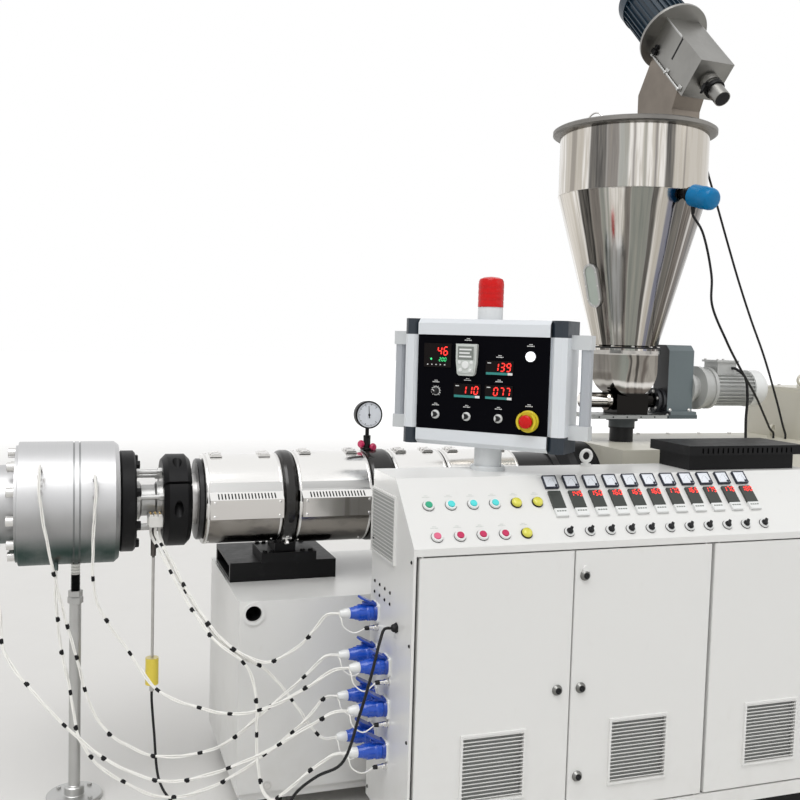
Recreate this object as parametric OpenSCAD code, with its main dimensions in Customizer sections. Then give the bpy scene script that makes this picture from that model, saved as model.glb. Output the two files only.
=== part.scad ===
// Pipe extrusion machine: die head on a stand, heated barrel, base frame with gearbox
// and motor, screw feeder with hopper and loader, and an electrical cabinet with a pendant.
// Origin: on the floor under the barrel axis, at the centre of the die stand's foot.
// +X runs along the machine from the die towards the motor, the operator stands at -Y.

/* [Barrel line] */
// Height of the barrel axis above the floor
axis_z = 1000; // [960:10:1100]
// Diameter of the die body
die_d = 400; // [360:10:440]
// Length of the die body on the outlet side of its stand
die_front = 183; // [150:1:240]
// Length of the die body on the barrel side of its stand
die_back = 132; // [110:1:180]
// Diameter of the die's outlet section
outlet_d = 252; // [200:4:300]
// Length of the die's outlet section
outlet_len = 105; // [60:5:160]
// Diameter of the outlet ring
outlet_ring_d = 300; // [270:5:350]
// Thickness of the outlet ring
outlet_ring_t = 30; // [20:2:50]
// Bore of the outlet ring, the pipe's outside
pipe_d = 140; // [110:5:180]
// Width of the slit between outlet ring and mandrel
slit_w = 8; // [5:1:14]
// Diameter of the black adapter flange
flange_d = 336; // [300:4:380]
// Thickness of the black adapter flange
flange_t = 52; // [36:1:70]
// Diameter of the adapter neck
neck_d = 104; // [80:4:140]
// Length of the adapter neck
neck_len = 87; // [70:1:130]
// Diameter of a tie rod beside the neck
rod_d = 16; // [12:1:20]
// Number of tie rods
rod_count = 6; // [4:1:8]
// Diameter of the circle of tie rods
rod_circle_d = 206; // [180:2:240]
// Outer diameter of the split clamp ring
clamp_d = 310; // [280:5:340]
// Width of the split clamp ring
clamp_len = 91; // [76:1:130]
// Gap between the two halves of the clamp ring
clamp_gap = 9; // [4:1:14]

/* [Barrel and heater covers] */
// Diameter of the barrel's nose inside the clamp
nose_d = 199; // [160:1:230]
// Diameter of the barrel
barrel_d = 236; // [220:2:250]
// Diameter of the barrel's front flange
front_flange_d = 276; // [240:2:290]
// Thickness of the barrel's front flange
front_flange_t = 21; // [12:1:40]
// Diameter of the first heater cover
cover_1_d = 306; // [296:2:330]
// Diameter of the other heater covers
cover_d = 320; // [306:2:340]
// Length of the first heater cover
cover_1_len = 259; // [230:1:320]
// Length of the second heater cover
cover_2_len = 262; // [230:1:320]
// Length of the third heater cover
cover_3_len = 198; // [170:1:240]
// Length of the fourth heater cover
cover_4_len = 283; // [240:1:320]
// Sheet thickness of a heater cover
cover_t = 3; // [2:0.5:5]
// Width of the first cooling ring
ring_1_w = 49; // [36:1:70]
// Width of the second cooling ring, which carries the pressure gauge
ring_2_w = 92; // [70:1:120]
// Length of the nose that shows behind the clamp ring
nose_gap = 22; // [12:1:40]
// Distance between the air slots in a heater cover's duct
slot_pitch = 11; // [9:0.5:16]
// Width of an air slot
slot_w = 4.5; // [3:0.5:6]
// Diameter of the black end section of the barrel
end_d = 294; // [260:2:320]
// Length of the black end section
end_len = 172; // [120:2:220]
// Diameter of the hood before the throat
hood_d = 370; // [340:5:400]
// Length of the hood
hood_len = 150; // [110:5:190]

/* [Base frame] */
// Height of the base frame's top
base_top = 720; // [680:10:760]
// Width of the base frame
base_w = 634; // [580:6:680]
// Distance of the base frame's end from the die stand
base_x = 490; // [460:5:520]
// Length of the base frame
base_len = 3600; // [3500:10:3800]
// Height of the levelling feet
foot_h = 60; // [40:5:80]
// Diameter of a levelling foot's pad
foot_d = 140; // [100:5:160]
// Number of levelling feet on a side
foot_count = 4; // [3:1:6]
// Radius of the lifting hole through the base frame
lift_r = 26; // [20:1:32]
// Depth of the lifting hole's centre below the base frame's top
lift_drop = 40; // [38:1:80]

/* [Throat, gearbox and motor] */
// Width of the throat block
throat_w = 592; // [520:4:620]
// Height of the throat block above the barrel axis
throat_rise = 185; // [165:5:200]
// Length of the throat block
throat_len = 376; // [330:4:420]
// Length of the lantern housing between throat block and gearbox
lantern_len = 638; // [560:2:700]
// Length of the gearbox
gearbox_len = 500; // [440:10:600]
// Width of the gearbox
gearbox_w = 600; // [520:10:620]
// Height of the gearbox above the barrel axis
gearbox_rise = 403; // [370:1:450]
// Diameter of the main motor's frame
motor_d = 420; // [360:10:440]
// Length of the main motor's frame
motor_len = 540; // [400:10:560]
// Length of the coupling guard
coupling_len = 120; // [90:5:200]

/* [Feeder and hopper] */
// Distance of the hopper's axis from the throat block's end face
hopper_offset = 176; // [150:2:200]
// Height of the pipe between throat block and feeder plate
downpipe_h = 95; // [70:5:130]
// Outer diameter of the downpipe
downpipe_d = 92; // [70:2:110]
// Thickness of the feeder plate
plate_t = 14; // [10:1:24]
// Length of the feeder plate
plate_len = 475; // [440:5:520]
// Width of the feeder plate
plate_w = 160; // [130:5:220]
// Outer diameter of the feeder bowl
bowl_d = 248; // [220:4:300]
// Height of the feeder bowl
bowl_h = 197; // [170:1:230]
// Outer diameter of the feeder's screw tube
screw_tube_d = 60; // [46:2:76]
// Length of the screw tube before the hopper's axis
screw_front = 186; // [160:1:220]
// Height of the screw tube's axis above the feeder plate
screw_rise = 54; // [44:1:70]
// Width of the feeder gearbox along the machine
feeder_box_w = 117; // [100:1:140]
// Depth of the feeder gearbox across the machine
feeder_box_depth = 100; // [80:5:150]
// Height of the feeder gearbox
feeder_box_h = 277; // [240:1:310]
// Diameter of the feeder motor
feeder_motor_d = 150; // [120:5:180]
// Wall of the hopper and the bowl
shell_t = 4; // [2:0.5:6]
// Outer diameter of the hopper's cylinder
hopper_d = 566; // [520:2:640]
// Height of the hopper's cone
cone_h = 583; // [520:1:640]
// Height of the hopper's cylinder
hopper_h = 232; // [200:2:300]
// Diameter of the hopper's lid
lid_d = 624; // [600:4:700]
// Angle of the loader below the horizontal
loader_angle = 45; // [42:1:52]
// Turn of the loader about the vertical, towards the operator's side
loader_turn = -87; // [-95:1:-75]
// Depth of the chute behind and in front of the loader's middle
chute_back = 125; // [110:5:140]
chute_front = 93; // [80:1:110]
// Length of the loader's bracket box
loader_len = 300; // [260:5:340]
// Width of the loader's bracket box
loader_w = 150; // [120:5:180]
// Diameter of the loader's flange
loader_flange_d = 270; // [240:5:310]
// Diameter of the loader's motor
loader_motor_d = 220; // [190:5:250]
// Length of the loader's motor
loader_motor_len = 300; // [240:10:340]
// Outer diameter of the loader's inlet tube
inlet_d = 60; // [48:2:76]
// Length of the loader's inlet tube
inlet_len = 120; // [100:5:160]

/* [Cabinet] */
// Distance of the cabinet's end from the die stand
cab_x = 889; // [870:1:920]
// Length of the cabinet
cab_len = 1514; // [1490:2:1560]
// Depth of the cabinet
cab_depth = 387; // [360:3:420]
// Gap between the cabinet's back and the base frame
cab_gap = 113; // [60:1:150]
// Height of the plinth
plinth_h = 100; // [60:5:140]
// Wall thickness of the cabinet
cab_t = 8; // [4:1:10]
// Height of the cabinet's doors
door_h = 804; // [760:4:840]
// Width of the first and the third door
door_w = 490; // [480:1:495]
// Thickness of a door
door_t = 18; // [14:1:24]
// Gap round a door
door_gap = 5; // [5:1:8]
// Gap between the two doors whose hinges meet
hinge_gap = 12; // [10:1:20]
// Height of the console's upright front lip
lip_h = 25; // [15:1:40]
// Depth of the console's slope
slope_depth = 174; // [150:2:200]
// Rise of the console's slope
slope_rise = 171; // [150:1:190]
// Size of a door's louvre panel
louvre_size = 208; // [180:4:240]
// Number of slats in a louvre panel
slat_count = 17; // [13:1:21]
// Length of the vent box on the cabinet's top
vent_len = 425; // [380:5:460]
// Distance between the controls on the console
control_pitch = 70.6; // [68:0.2:72]

/* [Pendant] */
// Distance of the pendant's pivot from the cabinet's end
pendant_dx = 363; // [330:1:400]
// Distance of the pendant's pivot from the cabinet's back
pendant_dy = 60; // [56:1:90]
// Angle of the pendant towards the die
pendant_yaw = 47; // [30:1:60]
// Width of the pendant
pendant_w = 548; // [500:2:600]
// Height of the pendant
pendant_h = 404; // [370:2:440]
// Depth of the pendant
pendant_depth = 140; // [110:2:150]
// Width of the pendant's frame rails
rail_w = 51; // [44:1:60]
// Height of the neck under the pendant
neck_h = 75; // [70:1:110]
// Diameter of the neck under the pendant
neck_tube_d = 88; // [70:2:110]

/* [Hidden] */
$fn = 64;

// Running clearance between pieces that fit round or beside each other
fit = 0.3;
// Small gap under a soft or curved piece
seat = 0.3;

// Places along the barrel line
die_x0 = -die_front;
die_x1 = die_back;
outlet_x = die_x0 - outlet_len;
ring_x = outlet_x - outlet_ring_t;
flange_x1 = die_x1 + flange_t;
clamp_x = flange_x1 + neck_len;
nose_x1 = clamp_x + clamp_len;
front_x = nose_x1 + nose_gap;
covers_x = front_x + front_flange_t;
cover_gap = 4;
cover_lens = [cover_1_len, cover_2_len, cover_3_len, cover_4_len];
cover_ds = [cover_1_d, cover_d, cover_d, cover_d];
joint_ws = [ring_1_w, ring_2_w, cover_gap];
function cover_x(i) = i == 0 ? covers_x : cover_x(i - 1) + cover_lens[i - 1] + joint_ws[i - 1];
covers_x1 = cover_x(3) + cover_lens[3];
end_x1 = covers_x1 + end_len;
hood_x1 = end_x1 + hood_len;
throat_x = hood_x1;
throat_x1 = throat_x + throat_len;
gearbox_x = throat_x1 + lantern_len;
gearbox_x1 = gearbox_x + gearbox_len;
motor_x = gearbox_x1 + coupling_len;
throat_top = axis_z + throat_rise;

// Feeder and hopper
hopper_x = throat_x + hopper_offset;
plate_z = throat_top + downpipe_h;
plate_top = plate_z + plate_t;
screw_z = plate_top + screw_rise;
plate_x = hopper_x - 180;
feeder_box_x = plate_x + plate_len - feeder_box_w - 6;
bowl_z = screw_z;
bowl_top = bowl_z + bowl_h;
cone_top = bowl_top + 12 + cone_h;
lid_z = cone_top + hopper_h;
lid_t = 23;
lid_top = lid_z + lid_t;
loader_y = -30;
loader_x = hopper_x + 140;
loader_z = lid_top + 366;

// Cabinet
cab_x1 = cab_x + cab_len;
cab_y1 = -base_w / 2 - cab_gap;
cab_y = cab_y1 - cab_depth;
door_z = plinth_h + 50;
door_top = door_z + door_h;
console_z = door_top + door_gap;
lip_top = console_z + lip_h;
slope_top = lip_top + slope_rise;
slope_a = atan2(slope_rise, slope_depth - 3);
door_1_x = cab_x + 18;
door_1_x1 = door_1_x + door_w;
door_3_x1 = cab_x1 - 18;
door_3_x = door_3_x1 - door_w;
door_2_x = door_1_x1 + door_gap;
door_2_x1 = door_3_x - hinge_gap;
pin_in_1 = 10;
pin_in = 18;
pin_back = 9;
pin_r = 4;
pin_len = 13;
pin_end_gap = 4;
louvre_low = 72;
frame_y = cab_y + 36;

// Pendant
pendant_x = cab_x + pendant_dx;
pendant_y = cab_y1 - pendant_dy;
pendant_z = slope_top + neck_h;
pendant_front = -80;
steel = [0.75, 0.75, 0.74];
paint = [0.86, 0.86, 0.83];
dark = [0.12, 0.12, 0.13];

// A box between its lowest and its highest corner
module block(low, high) {
    translate(low) cube(high - low);
}

// A cylinder along X between two places
module rod_x(x0, x1, r) {
    translate([x0, 0, 0]) rotate([0, 90, 0]) cylinder(h = x1 - x0, r = r);
}

// A cylinder along Y between two places
module rod_y(y0, y1, r) {
    translate([0, y0, 0]) rotate([-90, 0, 0]) cylinder(h = y1 - y0, r = r);
}

// Turns an outline of [radius, x] points round the X axis
module turned_x(outline) {
    rotate([0, 90, 0]) rotate_extrude($fn = 96) polygon(outline);
}

// Extrudes an outline of [y, z] points along X
module along_x(x0, x1) {
    translate([x0, 0, 0]) rotate([90, 0, 90]) linear_extrude(x1 - x0) children();
}

// A chamfered rectangle of a given size, centred on the origin
module chamfered(w, h, c) {
    polygon([[-w / 2 + c, -h / 2], [w / 2 - c, -h / 2], [w / 2, -h / 2 + c], [w / 2, h / 2 - c],
        [w / 2 - c, h / 2], [-w / 2 + c, h / 2], [-w / 2, h / 2 - c], [-w / 2, -h / 2 + c]]);
}

// Copies a piece round the X axis
module round_x(count, first = 0) {
    for (i = [0 : count - 1])
        rotate([first + 360 * i / count, 0, 0]) children();
}

module on_axis() {
    translate([0, 0, axis_z]) children();
}

// Base frame: a closed welded box with a top plate and a lifting hole
base_plate_t = 20;
lift_x = base_x + 45;
module base_frame() {
    color(paint) difference() {
        union() {
            block([base_x + 12, -base_w / 2 + 12, foot_h],
                [base_x + base_len - 12, base_w / 2 - 12, base_top - base_plate_t]);
            block([base_x, -base_w / 2, base_top - base_plate_t],
                [base_x + base_len, base_w / 2, base_top]);
            block([base_x, -base_w / 2, foot_h + 30],
                [base_x + base_len, base_w / 2, base_top - base_plate_t]);
            translate([lift_x, 0, base_top - lift_drop])
                rod_y(-base_w / 2 - 5, base_w / 2 + 5, lift_r + 10);
        }
        translate([lift_x, 0, base_top - lift_drop]) rod_y(-base_w, base_w, lift_r);
    }
}

// Levelling feet under the base frame and the plinth under the cabinet
foot_in = 100;
plinth_in = 30;
module levelling_foot() {
    cylinder(h = 18, d = foot_d);
    cylinder(h = foot_h - 12, d = 40);
    cylinder(h = foot_h, d = 30);
}
module feet_and_plinth() {
    foot_step = (base_len - 2 * foot_in) / (foot_count - 1);
    color(dark) {
        for (i = [0 : foot_count - 1], side = [-1, 1])
            translate([base_x + foot_in + i * foot_step, side * (base_w / 2 - foot_in), 0])
                levelling_foot();
        block([cab_x + plinth_in, cab_y + plinth_in, 0],
            [cab_x1 - plinth_in, cab_y1 - plinth_in, plinth_h]);
    }
}

// Black channel plate on the base with a stepped saddle under the barrel
channel_h = 66;
channel_len = 372;
channel_y = -70;
channel_w = 320;
channel_t = 12;
saddle_x = cover_x(1) - ring_1_w / 2;
ring_r = cover_d / 2 + 4;
module barrel_support() {
    color(dark) difference() {
        union() {
            block([base_x + 8, channel_y, base_top],
                [base_x + 8 + channel_len, channel_y + channel_w, base_top + channel_h]);
            block([saddle_x - 86, -88, base_top + channel_h],
                [saddle_x + 106, 88, base_top + channel_h + 34]);
            block([saddle_x - 36, -66, base_top + channel_h + 34], [saddle_x + 36, 66, axis_z - 120]);
        }
        on_axis() rod_x(saddle_x - 120, saddle_x + 140, ring_r + seat);
        block([base_x, channel_y + 20, base_top + channel_t],
            [base_x + channel_len + 20, channel_y + channel_w - 20, base_top + channel_h - channel_t]);
    }
}

// Die: body on its stand, outlet section, outlet ring and mandrel
seam = 5;
boss_r = 7;
boss_out = 26;
// Thermocouple bosses as [x, angle above the operator's side]
bosses = [[-107, 38], [54, 29], [-60, -62]];
module at_boss(b, r) {
    translate([b[0], 0, axis_z]) rotate([-b[1], 0, 0]) translate([0, -r, 0]) rotate([90, 0, 0]) children();
}
module die_body() {
    r = die_d / 2;
    color(steel) for (b = bosses) at_boss(b, r - 6) cylinder(h = boss_out + 6, r = boss_r);
    color(steel) on_axis() turned_x([[0, die_x0], [r - 12, die_x0], [r - 12, die_x0 + 8],
        [r - 2, die_x0 + 8], [r, die_x0 + 10], [r, -10], [r - 4, -10], [r - 4, -10 + seam],
        [r, -10 + seam], [r, 8], [r - 4, 8], [r - 4, 8 + seam], [r, 8 + seam],
        [r, die_x1 - 14], [r - 12, die_x1], [0, die_x1]]);
}

outlet_boss = [-235, -60];
module die_outlet() {
    r = outlet_d / 2;
    bore = pipe_d / 2 + 14;
    color(steel) at_boss(outlet_boss, r - 6) cylinder(h = boss_out + 6, r = boss_r);
    color(steel) on_axis() turned_x([[bore, outlet_x], [r - 3, outlet_x], [r, outlet_x + 3],
        [r, die_x0], [bore, die_x0]]);
}

module die_outlet_ring() {
    r = outlet_ring_d / 2;
    color(steel) on_axis() turned_x([[pipe_d / 2, ring_x], [r - 4, ring_x], [r, ring_x + 4],
        [r, outlet_x], [pipe_d / 2, outlet_x]]);
}

module die_mandrel() {
    r = pipe_d / 2 - slit_w;
    color(steel) on_axis() turned_x([[18, ring_x - 6], [r - 2, ring_x - 6], [r, ring_x - 4],
        [r, outlet_x + 10], [r + slit_w + 6, outlet_x + 40], [r + slit_w + 6, die_x0], [18, die_x0]]);
}

// Die stand: round foot, threaded pole and white top piece
stand_d = 38;
stand_foot_d = 180;
module die_stand() {
    top = axis_z - die_d / 2;
    color(dark) difference() {
        union() {
            cylinder(h = 14, d = stand_foot_d);
            cylinder(h = 44, d = stand_d + 26);
            cylinder(h = top - 70, d = stand_d);
            translate([0, 0, top - 120]) cylinder(h = 30, d = stand_d + 12, $fn = 6);
            translate([0, 0, top - 80]) cylinder(h = 100, d = stand_d - 8);
        }
        on_axis() rod_x(-60, 60, die_d / 2 + seat);
    }
}

// Adapter between die and barrel
module adapter_flange() {
    r = flange_d / 2;
    color(dark) on_axis() turned_x([[0, die_x1], [r - 8, die_x1], [r, die_x1 + 8],
        [r, flange_x1 - 6], [r - 6, flange_x1], [0, flange_x1]]);
}

term_x = flange_x1 + 63;
term_y = 92;
term_z = axis_z - 72;
module adapter_neck() {
    r = neck_d / 2;
    color(steel) on_axis() {
        turned_x([[0, flange_x1], [r + 12, flange_x1], [r + 12, flange_x1 + 16], [r, flange_x1 + 22],
            [r, clamp_x - 22], [r + 10, clamp_x - 16], [r + 10, clamp_x], [0, clamp_x]]);
        round_x(rod_count, 90 / rod_count)
            translate([0, 0, rod_circle_d / 2]) {
                rod_x(flange_x1, clamp_x, rod_d / 2);
                rod_x(flange_x1, flange_x1 + 14, rod_d / 2 + 6, $fn = 6);
                rod_x(clamp_x - 14, clamp_x, rod_d / 2 + 6, $fn = 6);
            }
        block([term_x - 22, -term_y - 20, term_z - axis_z], [term_x + 22, -30, term_z - axis_z + 34]);
    }
}

// Clamp ring: two halves with a pocket for each clamp bolt
clamp_tilt = 30;
pocket_r = 15;
module clamp_half() {
    r = clamp_d / 2;
    bore = nose_d / 2 + fit;
    difference() {
        turned_x([[bore, clamp_x], [r - 16, clamp_x], [r, clamp_x + 16], [r, nose_x1 - 16],
            [r - 16, nose_x1], [bore, nose_x1]]);
        translate([clamp_x - 1, -r - 1, -r - 1]) cube([clamp_len + 2, 2 * r + 2, r + 1 + clamp_gap / 2]);
        for (side = [-1, 1])
            translate([clamp_x + clamp_len / 2, side * (r - 26), 44])
                cylinder(h = r, r = pocket_r);
    }
}
module clamp_ring() {
    color(dark) on_axis() {
        rotate([-clamp_tilt, 0, 0]) clamp_half();
        rotate([180 - clamp_tilt, 0, 0]) clamp_half();
    }
}

// Barrel: nose, front flange, heated length and black end section
module barrel() {
    r = barrel_d / 2;
    e = end_d / 2;
    f = front_flange_d / 2;
    color(dark) on_axis() turned_x([[0, clamp_x], [nose_d / 2, clamp_x], [nose_d / 2, nose_x1 + 1],
        [nose_d / 2 - 13, nose_x1 + 1], [nose_d / 2 - 13, front_x], [f - 3, front_x], [f, front_x + 3],
        [f, covers_x - 5], [f - 5, covers_x], [r, covers_x],
        [r, covers_x1], [e - 5, covers_x1], [e, covers_x1 + 5], [e, end_x1 - 26],
        [e + 7, end_x1 - 26], [e + 7, end_x1], [0, end_x1]]);
}

// Heater cover: a polished shell round the barrel with closed ends, and a duct along the
// operator's side whose sloping top lets the cooling air out through a row of slots
duct_in = 8;
slot_y = -171;
slot_a = 35;
function duct_outline(t) = [[-100, 70 - t], [-138 + t, 74 - t], [-156 + t / 2, 44 - t],
    [-186 + t, 23 - t / 2], [-186 + t, -40 + t], [-150, -44 + t], [-100, -44 + t]];
module heater_cover(i) {
    x0 = cover_x(i);
    x1 = x0 + cover_lens[i];
    r = cover_ds[i] / 2;
    inner = barrel_d / 2 + fit;
    slots = floor((cover_lens[i] - 2 * duct_in - 40) / slot_pitch);
    first = (x0 + x1 - (slots - 1) * slot_pitch) / 2;
    color(steel) on_axis() difference() {
        union() {
            difference() {
                turned_x([[inner, x0], [r - 3, x0], [r, x0 + 3], [r, x1 - 3], [r - 3, x1],
                    [inner, x1]]);
                turned_x([[inner - 1, x0 + cover_t], [r - cover_t, x0 + cover_t],
                    [r - cover_t, x1 - cover_t], [inner - 1, x1 - cover_t]]);
            }
            difference() {
                along_x(x0 + duct_in, x1 - duct_in) polygon(duct_outline(0));
                along_x(x0 + duct_in + cover_t, x1 - duct_in - cover_t)
                    polygon(duct_outline(cover_t));
                rod_x(x0, x1, r - cover_t);
            }
        }
        for (k = [0 : slots - 1])
            translate([first + k * slot_pitch, slot_y, 33.5]) rotate([slot_a, 0, 0])
                cube([slot_w, 26, 14], center = true);
    }
}
module heater_cover_1() { heater_cover(0); }
module heater_cover_2() { heater_cover(1); }
module heater_cover_3() { heater_cover(2); }
module heater_cover_4() { heater_cover(3); }

// Black rings with a rounded back that close the joints between the covers
module cooling_rings() {
    color(dark) on_axis() for (i = [0, 1]) {
        x0 = cover_x(i) + cover_lens[i];
        x1 = x0 + joint_ws[i];
        inner = barrel_d / 2 + fit;
        turned_x([[inner, x0], [ring_r - 12, x0], [ring_r - 3, x0 + 5], [ring_r, x0 + 14],
            [ring_r, x1 - 14], [ring_r - 3, x1 - 5], [ring_r - 12, x1], [inner, x1]]);
    }
}

// Pressure gauge on a stem that stands on the second cooling ring
gauge_x = cover_x(2) - ring_2_w + 20;
gauge_y = 0;
gauge_r = 50;
gauge_h = 290;
module pressure_gauge() {
    color(dark) difference() {
        translate([gauge_x, gauge_y, axis_z]) {
            cylinder(h = gauge_h - gauge_r + 6, r = 7);
            translate([0, 0, ring_r - 4]) cylinder(h = 40, r = 10);
            translate([0, 0, ring_r + 4]) rod_y(-30, 18, 9);
            translate([0, 0, gauge_h - gauge_r - 36]) cylinder(h = 34, r = 13);
            translate([0, 0, gauge_h]) {
                rod_y(-18, 18, gauge_r - 3);
                rod_y(-22, -8, gauge_r);
            }
        }
        on_axis() rod_x(gauge_x - 80, gauge_x + 80, ring_r + seat);
    }
}

// Dark hood in front of the throat block
module rear_hood() {
    r = hood_d / 2;
    color(dark) on_axis() turned_x([[0, end_x1], [end_d / 2 - 4, end_x1], [r - 12, end_x1 + 34],
        [r, end_x1 + 56], [r, hood_x1], [0, hood_x1]]);
}

// Throat block with the opening's flange on its top
throat_base_t = 30;
module throat_block() {
    color(paint) difference() {
        union() {
            block([throat_x, -throat_w / 2, base_top + throat_base_t],
                [throat_x1, throat_w / 2, throat_top]);
            block([throat_x, -throat_w / 2 - 8, base_top],
                [throat_x1, throat_w / 2 + 8, base_top + throat_base_t]);
        }
        for (side = [-1, 1])
            translate([throat_x + throat_len / 2, side * throat_w / 2, (base_top + throat_top) / 2])
                cube([throat_len - 80, 12, throat_top - base_top - 150], center = true);
    }
}

// Gearbox with the lantern housing before it, ribs, split line, coupling guard and lifting eyes
module lifting_eye() {
    translate([0, 0, 34]) rotate([90, 0, 0])
        rotate_extrude($fn = 40) translate([19, 0]) circle(r = 6, $fn = 20);
    cylinder(h = 20, r = 8);
    cylinder(h = 8, r = 17);
}
gearbox_top = axis_z + gearbox_rise;
module gearbox() {
    w = gearbox_w / 2;
    color([0.78, 0.76, 0.7]) {
        difference() {
            union() {
                block([gearbox_x, -w, base_top + 40], [gearbox_x1, w, gearbox_top - 16]);
                block([gearbox_x + 14, -w + 14, gearbox_top - 16],
                    [gearbox_x1 - 14, w - 14, gearbox_top]);
                block([gearbox_x, -w - 9, base_top], [gearbox_x1, w + 9, base_top + 40]);
                block([gearbox_x, -w - 9, axis_z + 60], [gearbox_x1, w + 9, axis_z + 90]);
                block([throat_x1, -throat_w / 2 + 20, base_top], [gearbox_x, throat_w / 2 - 20, throat_top]);
                on_axis() rod_x(gearbox_x1, motor_x, 130);
                block([gearbox_x1, -130, base_top], [motor_x, 130, axis_z]);
                for (k = [1 : 4])
                    block([gearbox_x + k * gearbox_len / 5 - 8, -w - 9, base_top + 40],
                        [gearbox_x + k * gearbox_len / 5 + 8, w + 9, axis_z + 60]);
            }
            for (side = [-1, 1])
                translate([throat_x1 + lantern_len / 2, side * (throat_w / 2 - 20), axis_z - 30])
                    cube([lantern_len - 100, 60, 240], center = true);
        }
        for (x = [gearbox_x + 50, gearbox_x1 - 50])
            translate([x, 20, gearbox_top]) lifting_eye();
        translate([gearbox_x - 43, 75, throat_top]) rotate([0, 0, 30]) lifting_eye();
    }
}

// Main motor with cooling fins, end shields, feet and terminal box
fin_count = 32;
module main_motor() {
    r = motor_d / 2;
    x1 = motor_x + motor_len;
    color([0.3, 0.45, 0.5]) {
        on_axis() {
            turned_x([[0, motor_x], [r * 0.6, motor_x], [r * 0.62, motor_x + 20], [r - 24, motor_x + 30],
                [r - 24, x1 - 60], [0, x1 - 60]]);
            turned_x([[0, x1 - 60], [r - 10, x1 - 60], [r - 10, x1 - 12], [r - 40, x1], [0, x1]]);
            round_x(fin_count)
                block([motor_x + 50, -2.5, r - 30], [x1 - 70, 2.5, r - 4]);
        }
        for (side = [-1, 1])
            block([motor_x + 70, side * 150 - 50, base_top], [x1 - 100, side * 150 + 50, axis_z - 130]);
        block([motor_x + 120, -70, axis_z + r - 40], [motor_x + 280, 70, axis_z + r + 60]);
    }
}

// Pipe from the feeder down into the throat
module downpipe() {
    r = downpipe_d / 2;
    color(dark) translate([hopper_x, 0, throat_top]) rotate_extrude() polygon([[0, 0], [r, 0],
        [r, downpipe_h * 0.55], [r + 5, downpipe_h * 0.55], [r + 5, downpipe_h - 12],
        [r + 16, downpipe_h - 12], [r + 16, downpipe_h], [0, downpipe_h]]);
}

module feeder_plate() {
    color([0.35, 0.4, 0.44]) translate([plate_x, -plate_w / 2, plate_z])
        cube([plate_len, plate_w, plate_t]);
}

// Feeder bowl: a trough rolled to a half round under the hopper, over the screw tube
bowl_w = 208;
bowl_depth = 150;
bowl_bottom = 71;
module bowl_body(in) {
    w = bowl_w / 2 - in;
    low = plate_top + bowl_bottom + in;
    translate([hopper_x, bowl_depth / 2 - in, 0]) rotate([90, 0, 0])
        linear_extrude(bowl_depth - 2 * in) {
            translate([0, low + w]) circle(r = w, $fn = 80);
            translate([-w, low + w]) square([2 * w, bowl_top - 10 - low - w]);
        }
}
tube_x = hopper_x - screw_front;
bearing_x = feeder_box_x - 37;
module feeder_trough() {
    r = bowl_d / 2;
    color(steel) difference() {
        union() {
            bowl_body(0);
            translate([hopper_x, 0, bowl_top - 12]) cylinder(h = 12, r = r + 14);
            translate([0, 0, screw_z]) {
                rod_x(tube_x, bearing_x, screw_tube_d / 2);
                rod_x(tube_x + 108, tube_x + 118, screw_tube_d / 2 + 10);
            }
            block([hopper_x - 55, -50, plate_top],
                [hopper_x + 85, 50, max(screw_z + 30, plate_top + bowl_bottom + 13)]);
        }
        bowl_body(shell_t);
        translate([hopper_x - bowl_w / 2 + shell_t, -bowl_depth / 2 + shell_t, bowl_top - 40])
            cube([bowl_w - 2 * shell_t, bowl_depth - 2 * shell_t, 60]);
    }
}

// Feeder gearbox with its foot and the round black bearing housing on the screw's side
module feeder_gearbox() {
    x1 = feeder_box_x + feeder_box_w;
    d = feeder_box_depth / 2;
    color([0.4, 0.46, 0.5]) translate([0, 0, plate_top]) {
        along_x(feeder_box_x, x1) polygon([[-d, 0], [d, 0], [d, feeder_box_h - 22],
            [d - 22, feeder_box_h], [-d + 22, feeder_box_h], [-d, feeder_box_h - 22]]);
        block([feeder_box_x - 4, -plate_w / 2 + 4, 0], [x1 + 4, plate_w / 2 - 4, 14]);
    }
    color(dark) translate([0, 0, screw_z]) {
        rod_x(feeder_box_x - 12, feeder_box_x, 48);
        rod_x(feeder_box_x - 25, feeder_box_x - 12, 38);
        rod_x(bearing_x, feeder_box_x - 25, 50);
    }
}

// Feeder motor: reducer flanges, finned body, fan cowl and terminal box
feeder_motor_z = plate_top + 106;
module feeder_motor() {
    x0 = feeder_box_x + feeder_box_w;
    r = feeder_motor_d / 2;
    color([0.8, 0.8, 0.8]) translate([0, 0, feeder_motor_z]) {
        turned_x([[0, x0], [r - 10, x0], [r - 10, x0 + 14], [r - 24, x0 + 20], [r - 24, x0 + 40],
            [r + 13, x0 + 44], [r + 13, x0 + 60], [r + 4, x0 + 64], [r + 4, x0 + 92],
            [r + 10, x0 + 92], [r + 10, x0 + 106], [r - 12, x0 + 106], [r - 12, x0 + 298],
            [0, x0 + 298]]);
        turned_x([[0, x0 + 292], [r - 2, x0 + 292], [r - 2, x0 + 340], [r - 16, x0 + 360], [0, x0 + 360]]);
        round_x(28) block([x0 + 104, -1.6, r - 18], [x0 + 294, 1.6, r - 2]);
        block([x0 + 120, -44, r - 16], [x0 + 210, 44, r + 32]);
        block([x0 + 112, -50, r + 32], [x0 + 218, 50, r + 40]);
    }
}

// Hopper: clamp ring, cone and cylinder as one turned shell
module hopper() {
    r0 = bowl_d / 2;
    r1 = hopper_d / 2;
    z0 = bowl_top;
    color(steel) translate([hopper_x, 0, 0]) rotate_extrude($fn = 96) polygon([[r0 - shell_t, z0],
        [r0 + 12, z0], [r0 + 12, z0 + 12], [r0, z0 + 12], [r1, cone_top], [r1, lid_z],
        [r1 - shell_t, lid_z], [r1 - shell_t, cone_top + 1], [r0 - shell_t, z0 + 13]]);
}

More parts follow.
